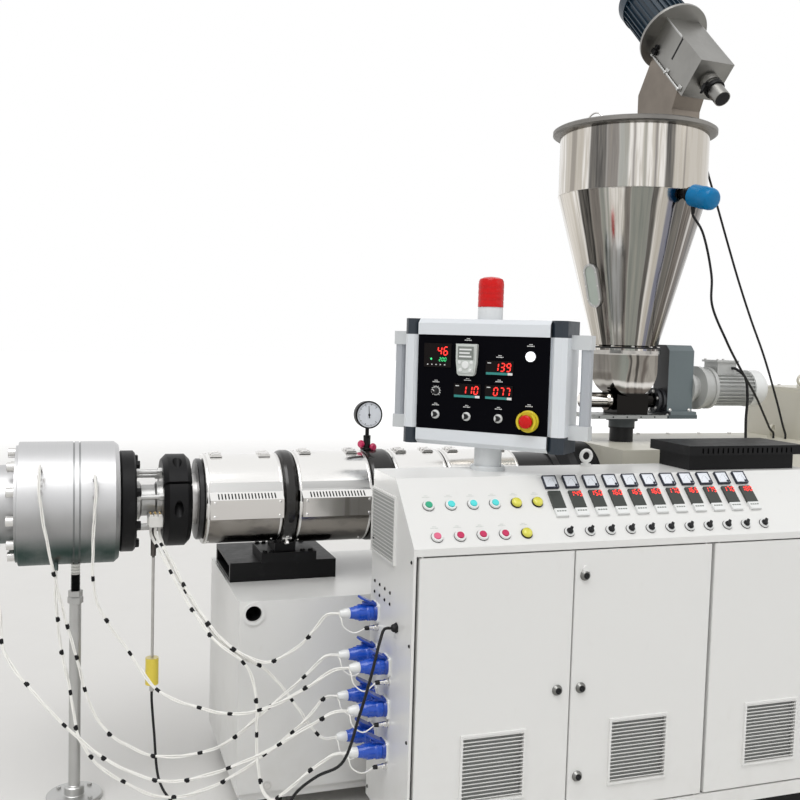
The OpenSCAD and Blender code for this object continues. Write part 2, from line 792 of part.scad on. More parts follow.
module hopper_lid() {
    r = lid_d / 2;
    color([0.45, 0.45, 0.44]) translate([hopper_x, 0, 0]) rotate_extrude($fn = 96) polygon([[0, lid_z],
        [r - 8, lid_z], [r, lid_z + 5], [r, lid_top - 5], [r - 8, lid_top], [r - 30, lid_top],
        [r - 40, lid_top - 10], [0, lid_top - 10]]);
}

// Sight glass in the cone: an upright oval frame with its pane
cone_a = atan2(hopper_d / 2 - bowl_d / 2, cone_h);
sight_turn = -165;
sight_h = 170;
sight_w = 70;
module sight_oval(w, h) {
    translate([0, (h - w) / 2]) circle(d = w);
    translate([0, -(h - w) / 2]) circle(d = w);
    square([w, h - w], center = true);
}
module sight_glass() {
    up = 0.4;
    r = bowl_d / 2 + up * (hopper_d - bowl_d) / 2;
    color([0.7, 0.8, 0.8]) translate([hopper_x, 0, bowl_top + 12 + up * cone_h])
        rotate([0, 0, sight_turn]) difference() {
            translate([r - 4, 0, 0]) rotate([0, 90 + cone_a, 0]) rotate([0, 0, 90])
                linear_extrude(14) sight_oval(sight_w, sight_h);
            translate([0, 0, -up * cone_h]) cylinder(h = cone_h, r1 = bowl_d / 2 + seat,
                r2 = hopper_d / 2 + seat, $fn = 96);
        }
}

// Level sensor: a stub on the hopper's side with a round blue head
sensor_turn = -80;
sensor_drop = 15;
sensor_z = cone_top - sensor_drop;
sensor_r = hopper_d / 2 - sensor_drop * tan(cone_a);
module level_sensor() {
    color([0.05, 0.4, 0.7]) translate([hopper_x, 0, sensor_z]) rotate([0, 0, sensor_turn]) difference() {
        translate([sensor_r, 0, 0]) rotate([0, cone_a, 0]) {
            rod_x(-14, 44, 19);
            rod_x(44, 134, 40);
            rod_x(134, 150, 34);
        }
        translate([0, 0, sensor_drop - cone_h]) cylinder(h = cone_h, r1 = bowl_d / 2 + seat,
            r2 = hopper_d / 2 + seat, $fn = 96);
        translate([0, 0, sensor_drop]) cylinder(h = 40, r = hopper_d / 2 + seat, $fn = 96);
    }
}

// Loader: frame along its slanted axis, which runs down towards the inlet tube
module on_loader() {
    translate([loader_x, loader_y, loader_z]) rotate([0, loader_angle, loader_turn]) children();
}
// Underside of the bracket box at t down its axis: distance from the loader's middle, height
function under(t) = [t * cos(loader_angle) - (loader_w / 2 + seat) * sin(loader_angle),
    loader_z - t * sin(loader_angle) - (loader_w / 2 + seat) * cos(loader_angle)];
module loader_chute() {
    color(steel) translate([loader_x, loader_y, 0]) rotate(loader_turn)
        translate([0, loader_w / 2 - 10, 0]) rotate([90, 0, 0]) linear_extrude(loader_w - 20)
            polygon([[-chute_back, lid_top], [chute_front, lid_top], [chute_front, lid_top + 70],
                under(loader_len - 50), under(20), [-chute_back, lid_top + 165]]);
}
module loader_bracket() {
    w = loader_w / 2;
    color(steel) on_loader() {
        rod_x(-12, 0, loader_flange_d / 2);
        difference() {
            block([0, -w, -w], [loader_len, w, w]);
            translate([loader_len, -w - 1, w]) rotate([0, 35, 0])
                cube([2 * w, 2 * w + 2, 2 * w], center = true);
        }
        rod_x(loader_len, loader_len + inlet_len, inlet_d / 2);
        rod_x(loader_len + 12, loader_len + 34, inlet_d / 2 + 7);
    }
}
module loader_motor() {
    r = loader_motor_d / 2;
    color([0.1, 0.2, 0.35]) on_loader() {
        turned_x([[0, -12], [r - 2, -12], [r - 2, -30], [r - 14, -34], [r - 14, -loader_motor_len + 60],
            [0, -loader_motor_len + 60]]);
        turned_x([[0, -loader_motor_len + 60], [r, -loader_motor_len + 60], [r, -loader_motor_len + 12],
            [r - 12, -loader_motor_len], [0, -loader_motor_len]]);
        round_x(30) block([-loader_motor_len + 58, -2, r - 20], [-28, 2, r - 3]);
    }
}

// Cabinet: floor sill, two ends, back and front posts, open at the front for the doors
post_w = 30;
module louvre_frame(w, h, t) {
    step = (h - 14) / slat_count;
    difference() {
        cube([w, h, t], center = true);
        cube([w - 14, h - 14, t + 2], center = true);
    }
    intersection() {
        for (k = [0 : slat_count - 1])
            translate([0, 7 - h / 2 + (k + 0.5) * step, 0])
                rotate([-32, 0, 0]) cube([w - 12, 2.4, 2 * t], center = true);
        cube([w - 12, h - 12, t], center = true);
    }
}
end_louvre_y = cab_y1 - 114;
end_louvre_z = console_z + 40;
end_louvre_w = 226;
end_louvre_h = 205;
gland_y = cab_y + 129;
gland_z = console_z - 239;
// Carries its pieces to the hinge axes of the three doors
module at_pins() {
    for (x = [door_1_x + pin_in_1, door_2_x1 - pin_in, door_3_x + pin_in])
        translate([x, cab_y + pin_back, 0]) children();
}
module cabinet() {
    inner = cab_x + cab_t;
    color(paint) difference() {
        union() {
            block([cab_x, cab_y, plinth_h], [cab_x1, cab_y1, door_z - door_gap]);
            block([cab_x, cab_y, door_z - door_gap], [inner, cab_y1, console_z]);
            block([cab_x1 - cab_t, cab_y, door_z - door_gap], [cab_x1, cab_y1, console_z]);
            block([inner, cab_y1 - cab_t, door_z - door_gap], [cab_x1 - cab_t, cab_y1, console_z]);
            for (x = [door_1_x1 + door_gap / 2, door_3_x - hinge_gap / 2])
                block([x - post_w / 2, frame_y, door_z - door_gap],
                    [x + post_w / 2, frame_y + 30, console_z]);
        }
        at_pins() translate([0, 0, door_z - pin_len - pin_end_gap]) cylinder(h = 40, r = pin_r + fit);
    }
}

// Console: closed top with the sloping control face
module console() {
    color(paint) difference() {
        along_x(cab_x, cab_x1) polygon([[cab_y, console_z], [cab_y, lip_top - 4], [cab_y + 3, lip_top],
            [cab_y + slope_depth, slope_top], [cab_y1, slope_top], [cab_y1, console_z]]);
        at_pins() translate([0, 0, console_z - 1]) cylinder(h = pin_len, r = pin_r + fit);
    }
    color(paint) translate([cab_x + 740, cab_y1 - 30, slope_top]) lifting_eye();
    color(paint) translate([cab_x - 3, end_louvre_y, end_louvre_z]) rotate([90, 0, -90])
        louvre_frame(end_louvre_w, end_louvre_h, 6);
}

// Vent box on the cabinet's top with an overhanging slotted lid
vent_x = cab_x + 1046;
vent_x1 = vent_x + vent_len;
vent_y = cab_y + slope_depth + 36;
vent_y1 = cab_y1 - 6;
module vent_box() {
    color(dark) translate([0, 0, slope_top]) difference() {
        union() {
            block([vent_x, vent_y, 0], [vent_x1, vent_y1, 52]);
            block([vent_x - 20, vent_y - 27, 52], [vent_x1 + 24, vent_y1 + 30, 84]);
        }
        for (k = [0 : 18])
            block([vent_x + 30 + k * 20, vent_y - 28, 58], [vent_x + 36 + k * 20, vent_y - 20, 76]);
    }
}

// Controls on the console's slope, set out on one pitch
first_control_x = cab_x + 77;
meter_x = cab_x + 496;
meter_size = 46;
module on_slope(x, s) {
    translate([x, cab_y + 3 + s * cos(slope_a), lip_top + s * sin(slope_a)])
        rotate([slope_a, 0, 0]) translate([0, 0, seat]) children();
}
module console_controls() {
    for (k = [0 : 5]) on_slope(first_control_x + k * control_pitch, 140) {
        color("silver") cylinder(h = 5, r = 15);
        color("green") cylinder(h = 12, r = 11);
    }
    for (k = [0 : 4]) on_slope(first_control_x + k * control_pitch, 32) {
        color("silver") cylinder(h = 5, r = 15);
        color("red") cylinder(h = 12, r = 11);
    }
    for (k = [0 : 10]) {
        on_slope(meter_x + k * control_pitch, 211) color(dark)
            translate([-meter_size / 2, -meter_size / 2, 0]) cube([meter_size, meter_size, 9]);
        on_slope(meter_x + k * control_pitch, 130) color(dark)
            translate([-21, -46, 0]) cube([42, 92, 9]);
        on_slope(meter_x + k * control_pitch + 3, 30) color(dark) {
            cylinder(h = 4, r = 16);
            cylinder(h = 18, r = 11);
        }
    }
}

// Sockets on the cabinet's end, two columns, with raised lids
socket_z = 325;
socket_pitch = 130;
far_y = cab_y1 - 65;
near_y = far_y - 120;
socket_t = 17;
function socket_places() = [[far_y, 3], [far_y, 2], [near_y, 2], [far_y, 1], [near_y, 1],
    [far_y, 0], [near_y, 0]];
module at_sockets() {
    for (p = socket_places())
        translate([cab_x, p[0], socket_z + p[1] * socket_pitch]) children();
}
module sockets() {
    at_sockets() {
        color([0.6, 0.62, 0.62]) block([-6, -30, -30], [0, 30, 30]);
        color([0.6, 0.62, 0.62]) rod_x(-socket_t, -6, 27);
        color("blue") translate([-12, -24, 27]) rotate([0, 28, 0]) translate([-52, 0, 0]) cube([52, 48, 5]);
    }
    color("silver") for (p = socket_places())
        translate([cab_x, p[0] - 16, socket_z + p[1] * socket_pitch - 46]) {
            rod_x(-16, 0, 9);
            rod_x(-44, -16, 6.5);
        }
    color(dark) translate([0, gland_y, gland_z]) rod_x(cab_x - 16, cab_x, 16);
}

// Plugs: a blue body, its collar and the white cable nut
plug_len = 72;
nut_len = 32;
plug_end = cab_x - socket_t - plug_len - nut_len;
module power_plugs() {
    at_sockets() {
        color("blue") turned_x([[0, -socket_t - plug_len], [17, -socket_t - plug_len],
            [22, -socket_t - plug_len + 20], [24, -socket_t - 22], [27, -socket_t - 20],
            [27, -socket_t], [0, -socket_t]]);
        color("white") turned_x([[0, -socket_t - plug_len - nut_len], [11, -socket_t - plug_len - nut_len],
            [14, -socket_t - plug_len - nut_len + 8], [14, -socket_t - plug_len], [0, -socket_t - plug_len]]);
    }
}

// Melt pressure transducer: a long stem hanging from the neck, with its round housing
trans_x = flange_x1 + 65;
trans_z = 366;
trans_len = 92;
module transducer() {
    color([0.8, 0.75, 0.2]) translate([trans_x, 0, 0]) difference() {
        union() {
            translate([0, 0, trans_z]) cylinder(h = trans_len, r = 22);
            translate([0, 0, trans_z - 24]) cylinder(h = 24, r = 8);
            translate([0, 0, trans_z]) cylinder(h = axis_z - trans_z, r = 5);
            translate([0, 0, axis_z - 190]) cylinder(h = 160, r = 9);
        }
        on_axis() rod_x(-60, 60, neck_d / 2 + 10 + seat);
    }
}

// Doors: flat panels with folded edges, a louvre panel, locks and hinge pins
module door(x0, x1, pin_x, lock_x, locks) {
    mid = (x0 + x1) / 2;
    color(paint) {
        difference() {
            union() {
                block([x0, cab_y + 1.5, door_z], [x1, cab_y + door_t, door_top]);
                block([x0 + 1.5, cab_y, door_z + 1.5], [x1 - 1.5, cab_y + 1.5, door_top - 1.5]);
            }
            block([mid - louvre_size / 2 + 8, cab_y - 1, door_z + louvre_low + 8],
                [mid + louvre_size / 2 - 8, cab_y + door_t + 1, door_z + louvre_low + louvre_size - 8]);
        }
        translate([mid, cab_y, door_z + louvre_low + louvre_size / 2]) rotate([90, 0, 0])
            louvre_frame(louvre_size, louvre_size, 12);
        for (z = [door_z - pin_len, door_top])
            translate([pin_x, cab_y + pin_back, z]) cylinder(h = pin_len, r = pin_r);
        for (z = locks)
            translate([lock_x, 0, door_z + z]) rod_y(cab_y - 8, cab_y + 1, 11);
    }
}
module door_left() {
    door(door_1_x, door_1_x1, door_1_x + pin_in_1, door_1_x1 - 42, [door_h * 0.48]);
}
module door_middle() {
    door(door_2_x, door_2_x1, door_2_x1 - pin_in, door_2_x + 32,
        [door_h * 0.14, door_h * 0.48, door_h * 0.93]);
}
module door_right() {
    door(door_3_x, door_3_x1, door_3_x + pin_in, door_3_x1 - 42, [door_h * 0.48]);
}

// Pendant: neck on the cabinet, swivelling housing, panel, handles and beacon
module in_pendant() {
    translate([pendant_x, pendant_y, 0]) rotate([0, 0, -pendant_yaw]) children();
}
module pendant_neck() {
    color([0.6, 0.63, 0.62]) translate([pendant_x, pendant_y, slope_top]) rotate_extrude() polygon([[0, 0],
        [neck_tube_d / 2 + 13, 0], [neck_tube_d / 2 + 13, 10], [neck_tube_d / 2 + 9, 14],
        [neck_tube_d / 2, 14], [neck_tube_d / 2, neck_h - seat], [0, neck_h - seat]]);
}
// Profile of a rail with a chamfered outer edge
module rail_outline(c) {
    y0 = pendant_front;
    y1 = pendant_front + pendant_depth;
    polygon([[y0, 0], [y0, rail_w - c], [y0 + c, rail_w], [y1 - c, rail_w], [y1, rail_w - c], [y1, 0]]);
}
module pendant_housing() {
    w = pendant_w / 2;
    y0 = pendant_front;
    y1 = pendant_front + pendant_depth;
    c = 14;
    z1 = pendant_z + pendant_h;
    color([0.82, 0.84, 0.84]) in_pendant() {
        translate([0, 0, z1 - rail_w]) along_x(-w + rail_w, w - rail_w) rail_outline(c);
        translate([0, 0, pendant_z + rail_w]) mirror([0, 0, 1])
            along_x(-w + rail_w, w - rail_w) rail_outline(c);
        for (side = [-1, 1])
            translate([side * (w - rail_w / 2), (y0 + y1) / 2, pendant_z + rail_w])
                linear_extrude(pendant_h - 2 * rail_w) chamfered(rail_w, pendant_depth, c);
        block([-w + rail_w, y0 + 8, pendant_z + rail_w], [w - rail_w, y1 - 4, z1 - rail_w]);
    }
    color([0.16, 0.2, 0.25]) in_pendant() for (side = [-1, 1], top = [0, 1])
        translate([side * (w - rail_w / 2), (y0 + y1) / 2, top == 1 ? z1 - rail_w : pendant_z])
            linear_extrude(rail_w) chamfered(rail_w, pendant_depth, c);
}

// Panel with displays, keypad, switches, lamp and emergency stop
panel_y = pendant_front + 8;
module on_panel(u, v) {
    translate([u, panel_y - 5, pendant_z + rail_w + v]) rotate([90, 0, 0]) children();
}
module pendant_panel() {
    w = pendant_w / 2 - rail_w;
    color([0.03, 0.03, 0.04]) in_pendant() {
        block([-w, panel_y - 5, pendant_z + rail_w], [w, panel_y, pendant_z + pendant_h - rail_w]);
        on_panel(-128, 220) translate([-48, -38, 0]) cube([96, 76, 3]);
        for (p = [[84, 192], [-15, 120], [84, 120]])
            on_panel(p[0], p[1]) translate([-46, -22, 0]) cube([92, 44, 4]);
        on_panel(-42, 220) translate([-36, -50, 0]) cube([72, 100, 18]);
        for (p = [[-130, 116, 13], [-130, 36, 11], [-24, 34, 11], [82, 32, 11]])
            on_panel(p[0], p[1]) cylinder(h = 14, r = p[2]);
        on_panel(168, 226) cylinder(h = 10, r = 15);
        on_panel(172, 36) {
            cylinder(h = 12, r = 34);
            cylinder(h = 30, r = 14);
            translate([0, 0, 22]) cylinder(h = 14, r = 20);
        }
    }
}

// Handles: end blocks on the pendant's sides with a grip bar between them
grip_out = 62;
grip_low = 42;
module pendant_handles() {
    w = pendant_w / 2;
    color([0.75, 0.77, 0.78]) in_pendant() for (side = [-1, 1]) mirror([side < 0 ? 1 : 0, 0, 0]) {
        for (z = [pendant_z + grip_low, pendant_z + pendant_h - grip_low - 44])
            block([w, -30, z], [w + grip_out, 12, z + 44]);
        translate([w + grip_out - 17, -9, pendant_z + grip_low + 44])
            linear_extrude(pendant_h - 2 * grip_low - 88) chamfered(30, 36, 6);
    }
}

// Beacon: a white base with a red dome on the pendant
beacon_r = 41;
module beacon() {
    z = pendant_z + pendant_h;
    color("white") in_pendant() translate([-8, 0, z]) cylinder(h = 42, r = beacon_r - 1);
    color("red") in_pendant() translate([-8, 0, z + 42]) rotate_extrude() polygon([[0, 0], [beacon_r, 0],
        [beacon_r, 74], [beacon_r - 6, 84], [beacon_r - 18, 92], [0, 96]]);
}

// Cables: one tube of a few sides swept along a chosen route
function unit(v) = v / norm(v);
function along(p, i) = i == 0 ? unit(p[1] - p[0])
    : i == len(p) - 1 ? unit(p[i] - p[i - 1])
    : unit(unit(p[i] - p[i - 1]) + unit(p[i + 1] - p[i]));
// The direction square to the route, carried on from ring to ring so that the tube never twists
function level(v, t) = unit(v - (v * t) * t);
function carried(p) = [for (i = 0, v = level([0.31, 0.77, 0.55], along(p, 0)); i < len(p);
    i = i + 1, v = i < len(p) ? level(v, along(p, i)) : v) v];
module tube(points, d, sides = 8) {
    n = len(points);
    ways = carried(points);
    rings = [for (i = [0 : n - 1]) let(a = ways[i], b = cross(along(points, i), a))
        for (k = [0 : sides - 1])
            points[i] + (a * cos(360 * k / sides) + b * sin(360 * k / sides)) * d / 2];
    walls = [for (i = [0 : n - 2], k = [0 : sides - 1]) let(m = (k + 1) % sides)
        [i * sides + m, i * sides + k, (i + 1) * sides + k, (i + 1) * sides + m]];
    first = [for (k = [0 : sides - 1]) k];
    last = [for (k = [sides - 1 : -1 : 0]) (n - 1) * sides + k];
    color("white") polyhedron(rings, concat([first], walls, [last]), convexity = 8);
}

// Routes of the die's cables, from their bosses and the neck's terminal to the plugs
cable_d = 11;
tail = 40;
function boss_start(b, r, out) = [b[0], -(r + out) * cos(b[1]), axis_z + (r + out) * sin(b[1])];
function plug_point(i, back) = [plug_end - back, socket_places()[i][0],
    socket_z + socket_places()[i][1] * socket_pitch];
module boss_cable(b, r, route, plug) {
    tube(concat([boss_start(b, r, boss_out), boss_start(b, r, boss_out + 14)], route,
        [plug_point(plug, tail), plug_point(plug, 0)]), cable_d);
}
module terminal_cable(dx, dy, route, plug) {
    tube(concat([[term_x + dx, -term_y + dy, term_z], [term_x + dx, -term_y + dy, term_z - 24]], route,
        [plug_point(plug, tail), plug_point(plug, 0)]), cable_d);
}
module cable_1() {
    terminal_cable(0, -11, [[281, -173, 850], [346, -271, 730], [426, -371, 625], [492, -413, 580],
        [555, -434, 560], [640, -460, 604], [695, -482, 668]], 0);
}
module cable_2() {
    boss_cable(bosses[0], die_d / 2, [[-108, -232, 1080], [-96, -236, 985], [-45, -240, 735],
        [0, -250, 570], [45, -268, 410], [95, -288, 330], [160, -308, 285], [220, -332, 262],
        [305, -370, 265], [425, -406, 300], [565, -452, 425], [670, -488, 530]], 1);
}
module cable_3() {
    boss_cable(bosses[1], die_d / 2, [[56, -238, 1060], [50, -236, 945], [60, -250, 735],
        [155, -290, 580], [240, -350, 470], [360, -420, 430], [455, -480, 425], [550, -536, 460],
        [650, -590, 530]], 2);
}
module cable_4() {
    boss_cable(bosses[2], die_d / 2, [[-60, -150, 735], [-46, -170, 590], [-15, -210, 440],
        [15, -256, 300], [75, -290, 222], [145, -322, 180], [210, -345, 148], [280, -372, 138],
        [370, -398, 160], [470, -424, 212], [600, -470, 320], [680, -502, 405]], 3);
}
module cable_5() {
    boss_cable(outlet_boss, outlet_d / 2, [[-235, -145, 780], [-220, -180, 700], [-205, -220, 585],
        [-95, -315, 455], [10, -362, 350], [105, -400, 280], [240, -452, 232], [350, -496, 250],
        [530, -566, 335], [660, -604, 420]], 4);
}
module cable_6() {
    terminal_cable(14, 0, [[282, -160, 838], [347, -258, 718], [427, -358, 613], [493, -400, 568],
        [558, -414, 530], [608, -434, 475], [650, -458, 418], [690, -480, 360]], 5);
}
module cable_7() {
    terminal_cable(-14, 0, [[268, -172, 838], [333, -270, 718], [413, -370, 613], [479, -412, 568],
        [512, -426, 518], [525, -456, 430], [522, -480, 310], [532, -524, 205], [552, -562, 185],
        [582, -592, 215], [660, -612, 285]], 6);
}

// Transducer's cable: down to the floor, along it and up to the gland in the cabinet's end
module transducer_cable() {
    tube([[trans_x, 0, trans_z - 24], [trans_x, 0, trans_z - 50], [256, -25, 210], [270, -75, 60],
        [300, -130, 14], [360, -230, 6], [450, -370, 6], [530, -480, 20], [578, -545, 90],
        [615, -605, 215], [668, -655, 285], [730, -690, 330], [775, -712, 480], [810, -715, 610],
        [835, -700, 690], [852, gland_y, gland_z], [cab_x - 16, gland_y, gland_z]], 9);
}

// Cables from the level sensor and the loader down behind the vent box
gland_at = 64;
function sensor_point(down) = [
    hopper_x + (sensor_r + gland_at * cos(cone_a) - down * sin(cone_a)) * cos(sensor_turn),
    (sensor_r + gland_at * cos(cone_a) - down * sin(cone_a)) * sin(sensor_turn),
    sensor_z - gland_at * sin(cone_a) - down * cos(cone_a)];
module sensor_cable() {
    tube([sensor_point(40), sensor_point(62), [2138, -338, 1985], [2184, -343, 1826], [2190, -345, 1724],
        [2273, -330, 1592], [2400, -255, 1490], [2560, -150, 1385], [2700, -45, 1290], [2790, 20, 1225],
        [gearbox_x - 60, 45, throat_top + 22], [gearbox_x - 60, 45, throat_top + seat]], 9);
}
function loader_point(t, v) = let (along = t * cos(loader_angle)) [
    loader_x + along * cos(loader_turn) - v * sin(loader_turn),
    loader_y + along * sin(loader_turn) + v * cos(loader_turn), loader_z - t * sin(loader_angle)];
module loader_cable() {
    tube([loader_point(60, loader_w / 2), loader_point(60, loader_w / 2 + 24), [2330, 35, 2530],
        [2385, 55, 2440], [2438, 60, 2290], [2498, 60, 2143], [2560, 60, 1990], [2623, 60, 1840],
        [2692, 60, 1690], [2770, 58, 1530], [2830, 40, 1350], [2858, 20, 1230],
        [gearbox_x - 23, 15, throat_top + 20], [gearbox_x - 23, 15, throat_top + seat]], 9);
}

// Cable of the feeder's motor, from its terminal box down to the lantern housing
module feeder_cable() {
    x = feeder_box_x + feeder_box_w + 190;
    z = feeder_motor_z + feeder_motor_d / 2 + 8;
    tube([[x, -44, z], [x, -62, z], [x + 22, -96, z - 30], [x + 34, -104, z - 110], [x + 32, -104, z - 200],
        [x + 32, -108, throat_top + 20], [x + 32, -108, throat_top + seat]], 11);
}

base_frame();
feet_and_plinth();
barrel_support();
die_body();
die_outlet();
die_outlet_ring();
die_mandrel();
die_stand();
adapter_flange();
adapter_neck();
clamp_ring();
barrel();
heater_cover_1();
heater_cover_2();
heater_cover_3();
heater_cover_4();
cooling_rings();
pressure_gauge();
rear_hood();
throat_block();
gearbox();
main_motor();
downpipe();
feeder_plate();
feeder_trough();
feeder_gearbox();
feeder_motor();
hopper();
hopper_lid();
sight_glass();
level_sensor();
loader_chute();
loader_bracket();
loader_motor();
cabinet();
console();
vent_box();
console_controls();
sockets();
pendant_neck();
transducer();
door_left();
door_middle();
door_right();
pendant_housing();
pendant_panel();
pendant_handles();
beacon();
power_plugs();
cable_1();
cable_2();
cable_3();
cable_4();
cable_5();
cable_6();
cable_7();
transducer_cable();
sensor_cable();
loader_cable();
feeder_cable();
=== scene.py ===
# Plastic pipe extruder: die on its stand, heated barrel, screw feeder with hopper, cabinet and pendant.
# Sizes are millimetres in the machine's own frame; every mesh is brought to metres when it is finished.
import bpy
import bmesh
import math
import random
from mathutils import Matrix, Vector


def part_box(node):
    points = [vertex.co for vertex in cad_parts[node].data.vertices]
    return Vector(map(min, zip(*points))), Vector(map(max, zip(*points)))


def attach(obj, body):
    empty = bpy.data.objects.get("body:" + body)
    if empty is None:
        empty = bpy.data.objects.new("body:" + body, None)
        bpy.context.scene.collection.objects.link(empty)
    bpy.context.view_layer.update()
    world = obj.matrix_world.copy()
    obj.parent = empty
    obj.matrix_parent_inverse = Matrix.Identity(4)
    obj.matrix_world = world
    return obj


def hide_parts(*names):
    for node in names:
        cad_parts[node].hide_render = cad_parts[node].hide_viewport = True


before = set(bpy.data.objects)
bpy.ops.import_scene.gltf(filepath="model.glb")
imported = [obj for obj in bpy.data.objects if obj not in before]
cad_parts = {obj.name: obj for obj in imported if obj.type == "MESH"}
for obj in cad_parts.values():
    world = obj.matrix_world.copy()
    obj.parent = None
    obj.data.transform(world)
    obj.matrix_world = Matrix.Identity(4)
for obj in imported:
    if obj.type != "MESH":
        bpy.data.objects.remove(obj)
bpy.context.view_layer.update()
print("frame loaded,", len(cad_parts), "nodes")

axisHeight = 1000
move, spin = Matrix.Translation, Matrix.Rotation


def turnDegrees(angle, axis):
    return spin(math.radians(angle), 4, axis)


# Camera, fitted to the photograph's straight edges
viewpoint = {"place": (-0.024, -3.299, 1.571), "yaw": 19.08, "pitch": -3.74, "roll": 1.63, "focal": 959.4,
             "across": 800}


def placeCamera():
    yaw, pitch, roll = (math.radians(viewpoint[k]) for k in ("yaw", "pitch", "roll"))
    ahead = Vector((math.sin(yaw) * math.cos(pitch), math.cos(yaw) * math.cos(pitch), math.sin(pitch)))
    right = Vector((math.cos(yaw), -math.sin(yaw), 0))
    up = right.cross(ahead)
    sideways = right * math.cos(roll) + up * math.sin(roll)
    upright = up * math.cos(roll) - right * math.sin(roll)
    lens = bpy.data.cameras.new("viewCamera")
    lens.sensor_width = 36
    lens.lens = 36 * viewpoint["focal"] / viewpoint["across"]
    lens.clip_start, lens.clip_end = 0.05, 200
    camera = bpy.data.objects.new("viewCamera", lens)
    bpy.context.scene.collection.objects.link(camera)
    camera.matrix_world = move(viewpoint["place"]) @ Matrix((sideways, upright, -ahead)).transposed().to_4x4()
    bpy.context.scene.camera = camera


placeCamera()


# Shader expressions: a value is a socket, and arithmetic on it adds maths nodes
class Value:
    def __init__(self, look, socket):
        self.look, self.socket = look, socket

    def most(self, other):
        return self.look.maths("MAXIMUM", self, other)

    def size(self):
        return self.look.maths("ABSOLUTE", self, 0)


def sign(kind, swapped):
    return lambda value, other: value.look.maths(kind, *((other, value) if swapped else (value, other)))


for word, kind in (("add", "ADD"), ("sub", "SUBTRACT"), ("mul", "MULTIPLY")):
    setattr(Value, "__%s__" % word, sign(kind, False))
    setattr(Value, "__r%s__" % word, sign(kind, True))


class Look:
    sockets = {"coat": "Coat Weight", "sheen": "Specular IOR Level", "glow": "Emission Strength"}

    def __init__(self, name, **fixed):
        self.material = bpy.data.materials.new(name)
        self.material.use_nodes = True
        self.tree = self.material.node_tree
        self.shader = self.tree.nodes["Principled BSDF"]
        self.place = self.node("TexCoord", {}, {}, "Object")
        parts = self.node("SeparateXYZ", {}, {0: self.place}).socket.node
        self.x, self.y, self.z = (Value(self, parts.outputs[k]) for k in range(3))
        for key, value in fixed.items():
            self.set(self.sockets.get(key, key.capitalize()), value)

    def node(self, kind, settings, inputs, output=0):
        made = self.tree.nodes.new("ShaderNode" + kind)
        for key, value in settings.items():
            setattr(made, key, value)
        for key, value in inputs.items():
            if isinstance(value, Value):
                self.tree.links.new(value.socket, made.inputs[key])
            else:
                made.inputs[key].default_value = value
        return Value(self, made.outputs[output])

    def maths(self, operation, a, b):
        return self.node("Math", {"operation": operation}, {0: a, 1: b})

    def noiseAt(self, place, scale, detail, rough):
        given = {"Vector": place, "Scale": scale, "Detail": detail, "Roughness": rough}
        return self.node("TexNoise", {}, given)

    def noise(self, scale, detail=3, stretch=(1, 1, 1), rough=0.55):
        at = self.node("VectorMath", {"operation": "MULTIPLY"}, {0: self.place, 1: stretch})
        return self.noiseAt(at, scale, detail, rough)

    def fade(self, value, start, end):
        return self.node("MapRange", {"interpolation_type": "SMOOTHSTEP"}, {0: value, 1: start, 2: end})

    def strip(self, value, start, end, soft=1.2):
        half = (end - start) / 2
        return self.fade((value - (start + end) / 2).size(), half + soft, half - soft)

    def away(self, point, stretch=(1, 1, 1)):
        place = self.node("VectorMath", {"operation": "SUBTRACT"}, {0: self.place, 1: point})
        place = self.node("VectorMath", {"operation": "MULTIPLY"}, {0: place, 1: stretch})
        return self.node("VectorMath", {"operation": "LENGTH"}, {0: place}, "Value")

    def mix(self, share, a, b):
        a, b = (c if isinstance(c, Value) else (*c, 1) for c in (a, b))
        return self.node("Mix", {"data_type": "RGBA"}, {0: share, 6: a, 7: b}, 2)

    def layers(self, base, *shares):
        # each layer is a share and the colour that it lays over what is there
        for share, colour in shares:
            base = self.mix(share, base, colour)
        return base

    def set(self, name, value):
        socket = self.shader.inputs[name]
        if isinstance(value, Value):
            self.tree.links.new(value.socket, socket)
        else:
            socket.default_value = (*value, 1) if isinstance(value, tuple) else value

    def done(self, colour, rough, height=None, strength=0.0, depth=0.001):
        self.set("Base Color", colour)
        self.set("Roughness", rough)
        if height:
            bump = {"Strength": strength, "Distance": depth, "Height": height}
            self.set("Normal", self.node("Bump", {}, bump))
        return self.material


def tint(colour, by):
    return tuple(min(1, max(0, c * by)) for c in colour)


# Finishes that several pieces share
def enamel(name, colour, rough=0.34, dirt=0.22, peel=0.05, coat=0.15):
    look = Look(name, coat=coat)
    cloudy = look.noise(1.7, 5)
    dusty = look.fade(look.z, 0.55, 0.03) * look.fade(look.noise(11, 6), 0.35, 0.75)
    marks = look.fade(look.noise(23, 7, (1, 1, 0.5)), 0.62, 0.78)
    soil = tuple(c * f for c, f in zip(colour, (0.66, 0.62, 0.56)))
    base = look.mix((cloudy * 0.35 + dusty * 0.8 + marks * 0.5) * dirt, colour, soil)
    gloss = look.noise(14, 4) * 0.16 + dusty * 0.2 + (rough - 0.06)
    return look.done(base, gloss, look.noise(420, 2), peel, 0.0006)


def brushedSteel(name, colour, rough=0.26, stretch=(1, 0.03, 1), scale=180, dark=0.3):
    look = Look(name, metallic=1.0)
    grain = look.noise(scale, 4, stretch, 0.7)
    cloud = look.noise(5, 4)
    base = look.mix(look.fade(cloud, 0.35, 0.8) * dark, colour, tint(colour, 0.5))
    return look.done(base, grain * 0.16 + cloud * 0.08 + (rough - 0.1), grain, 0.06, 0.0003)


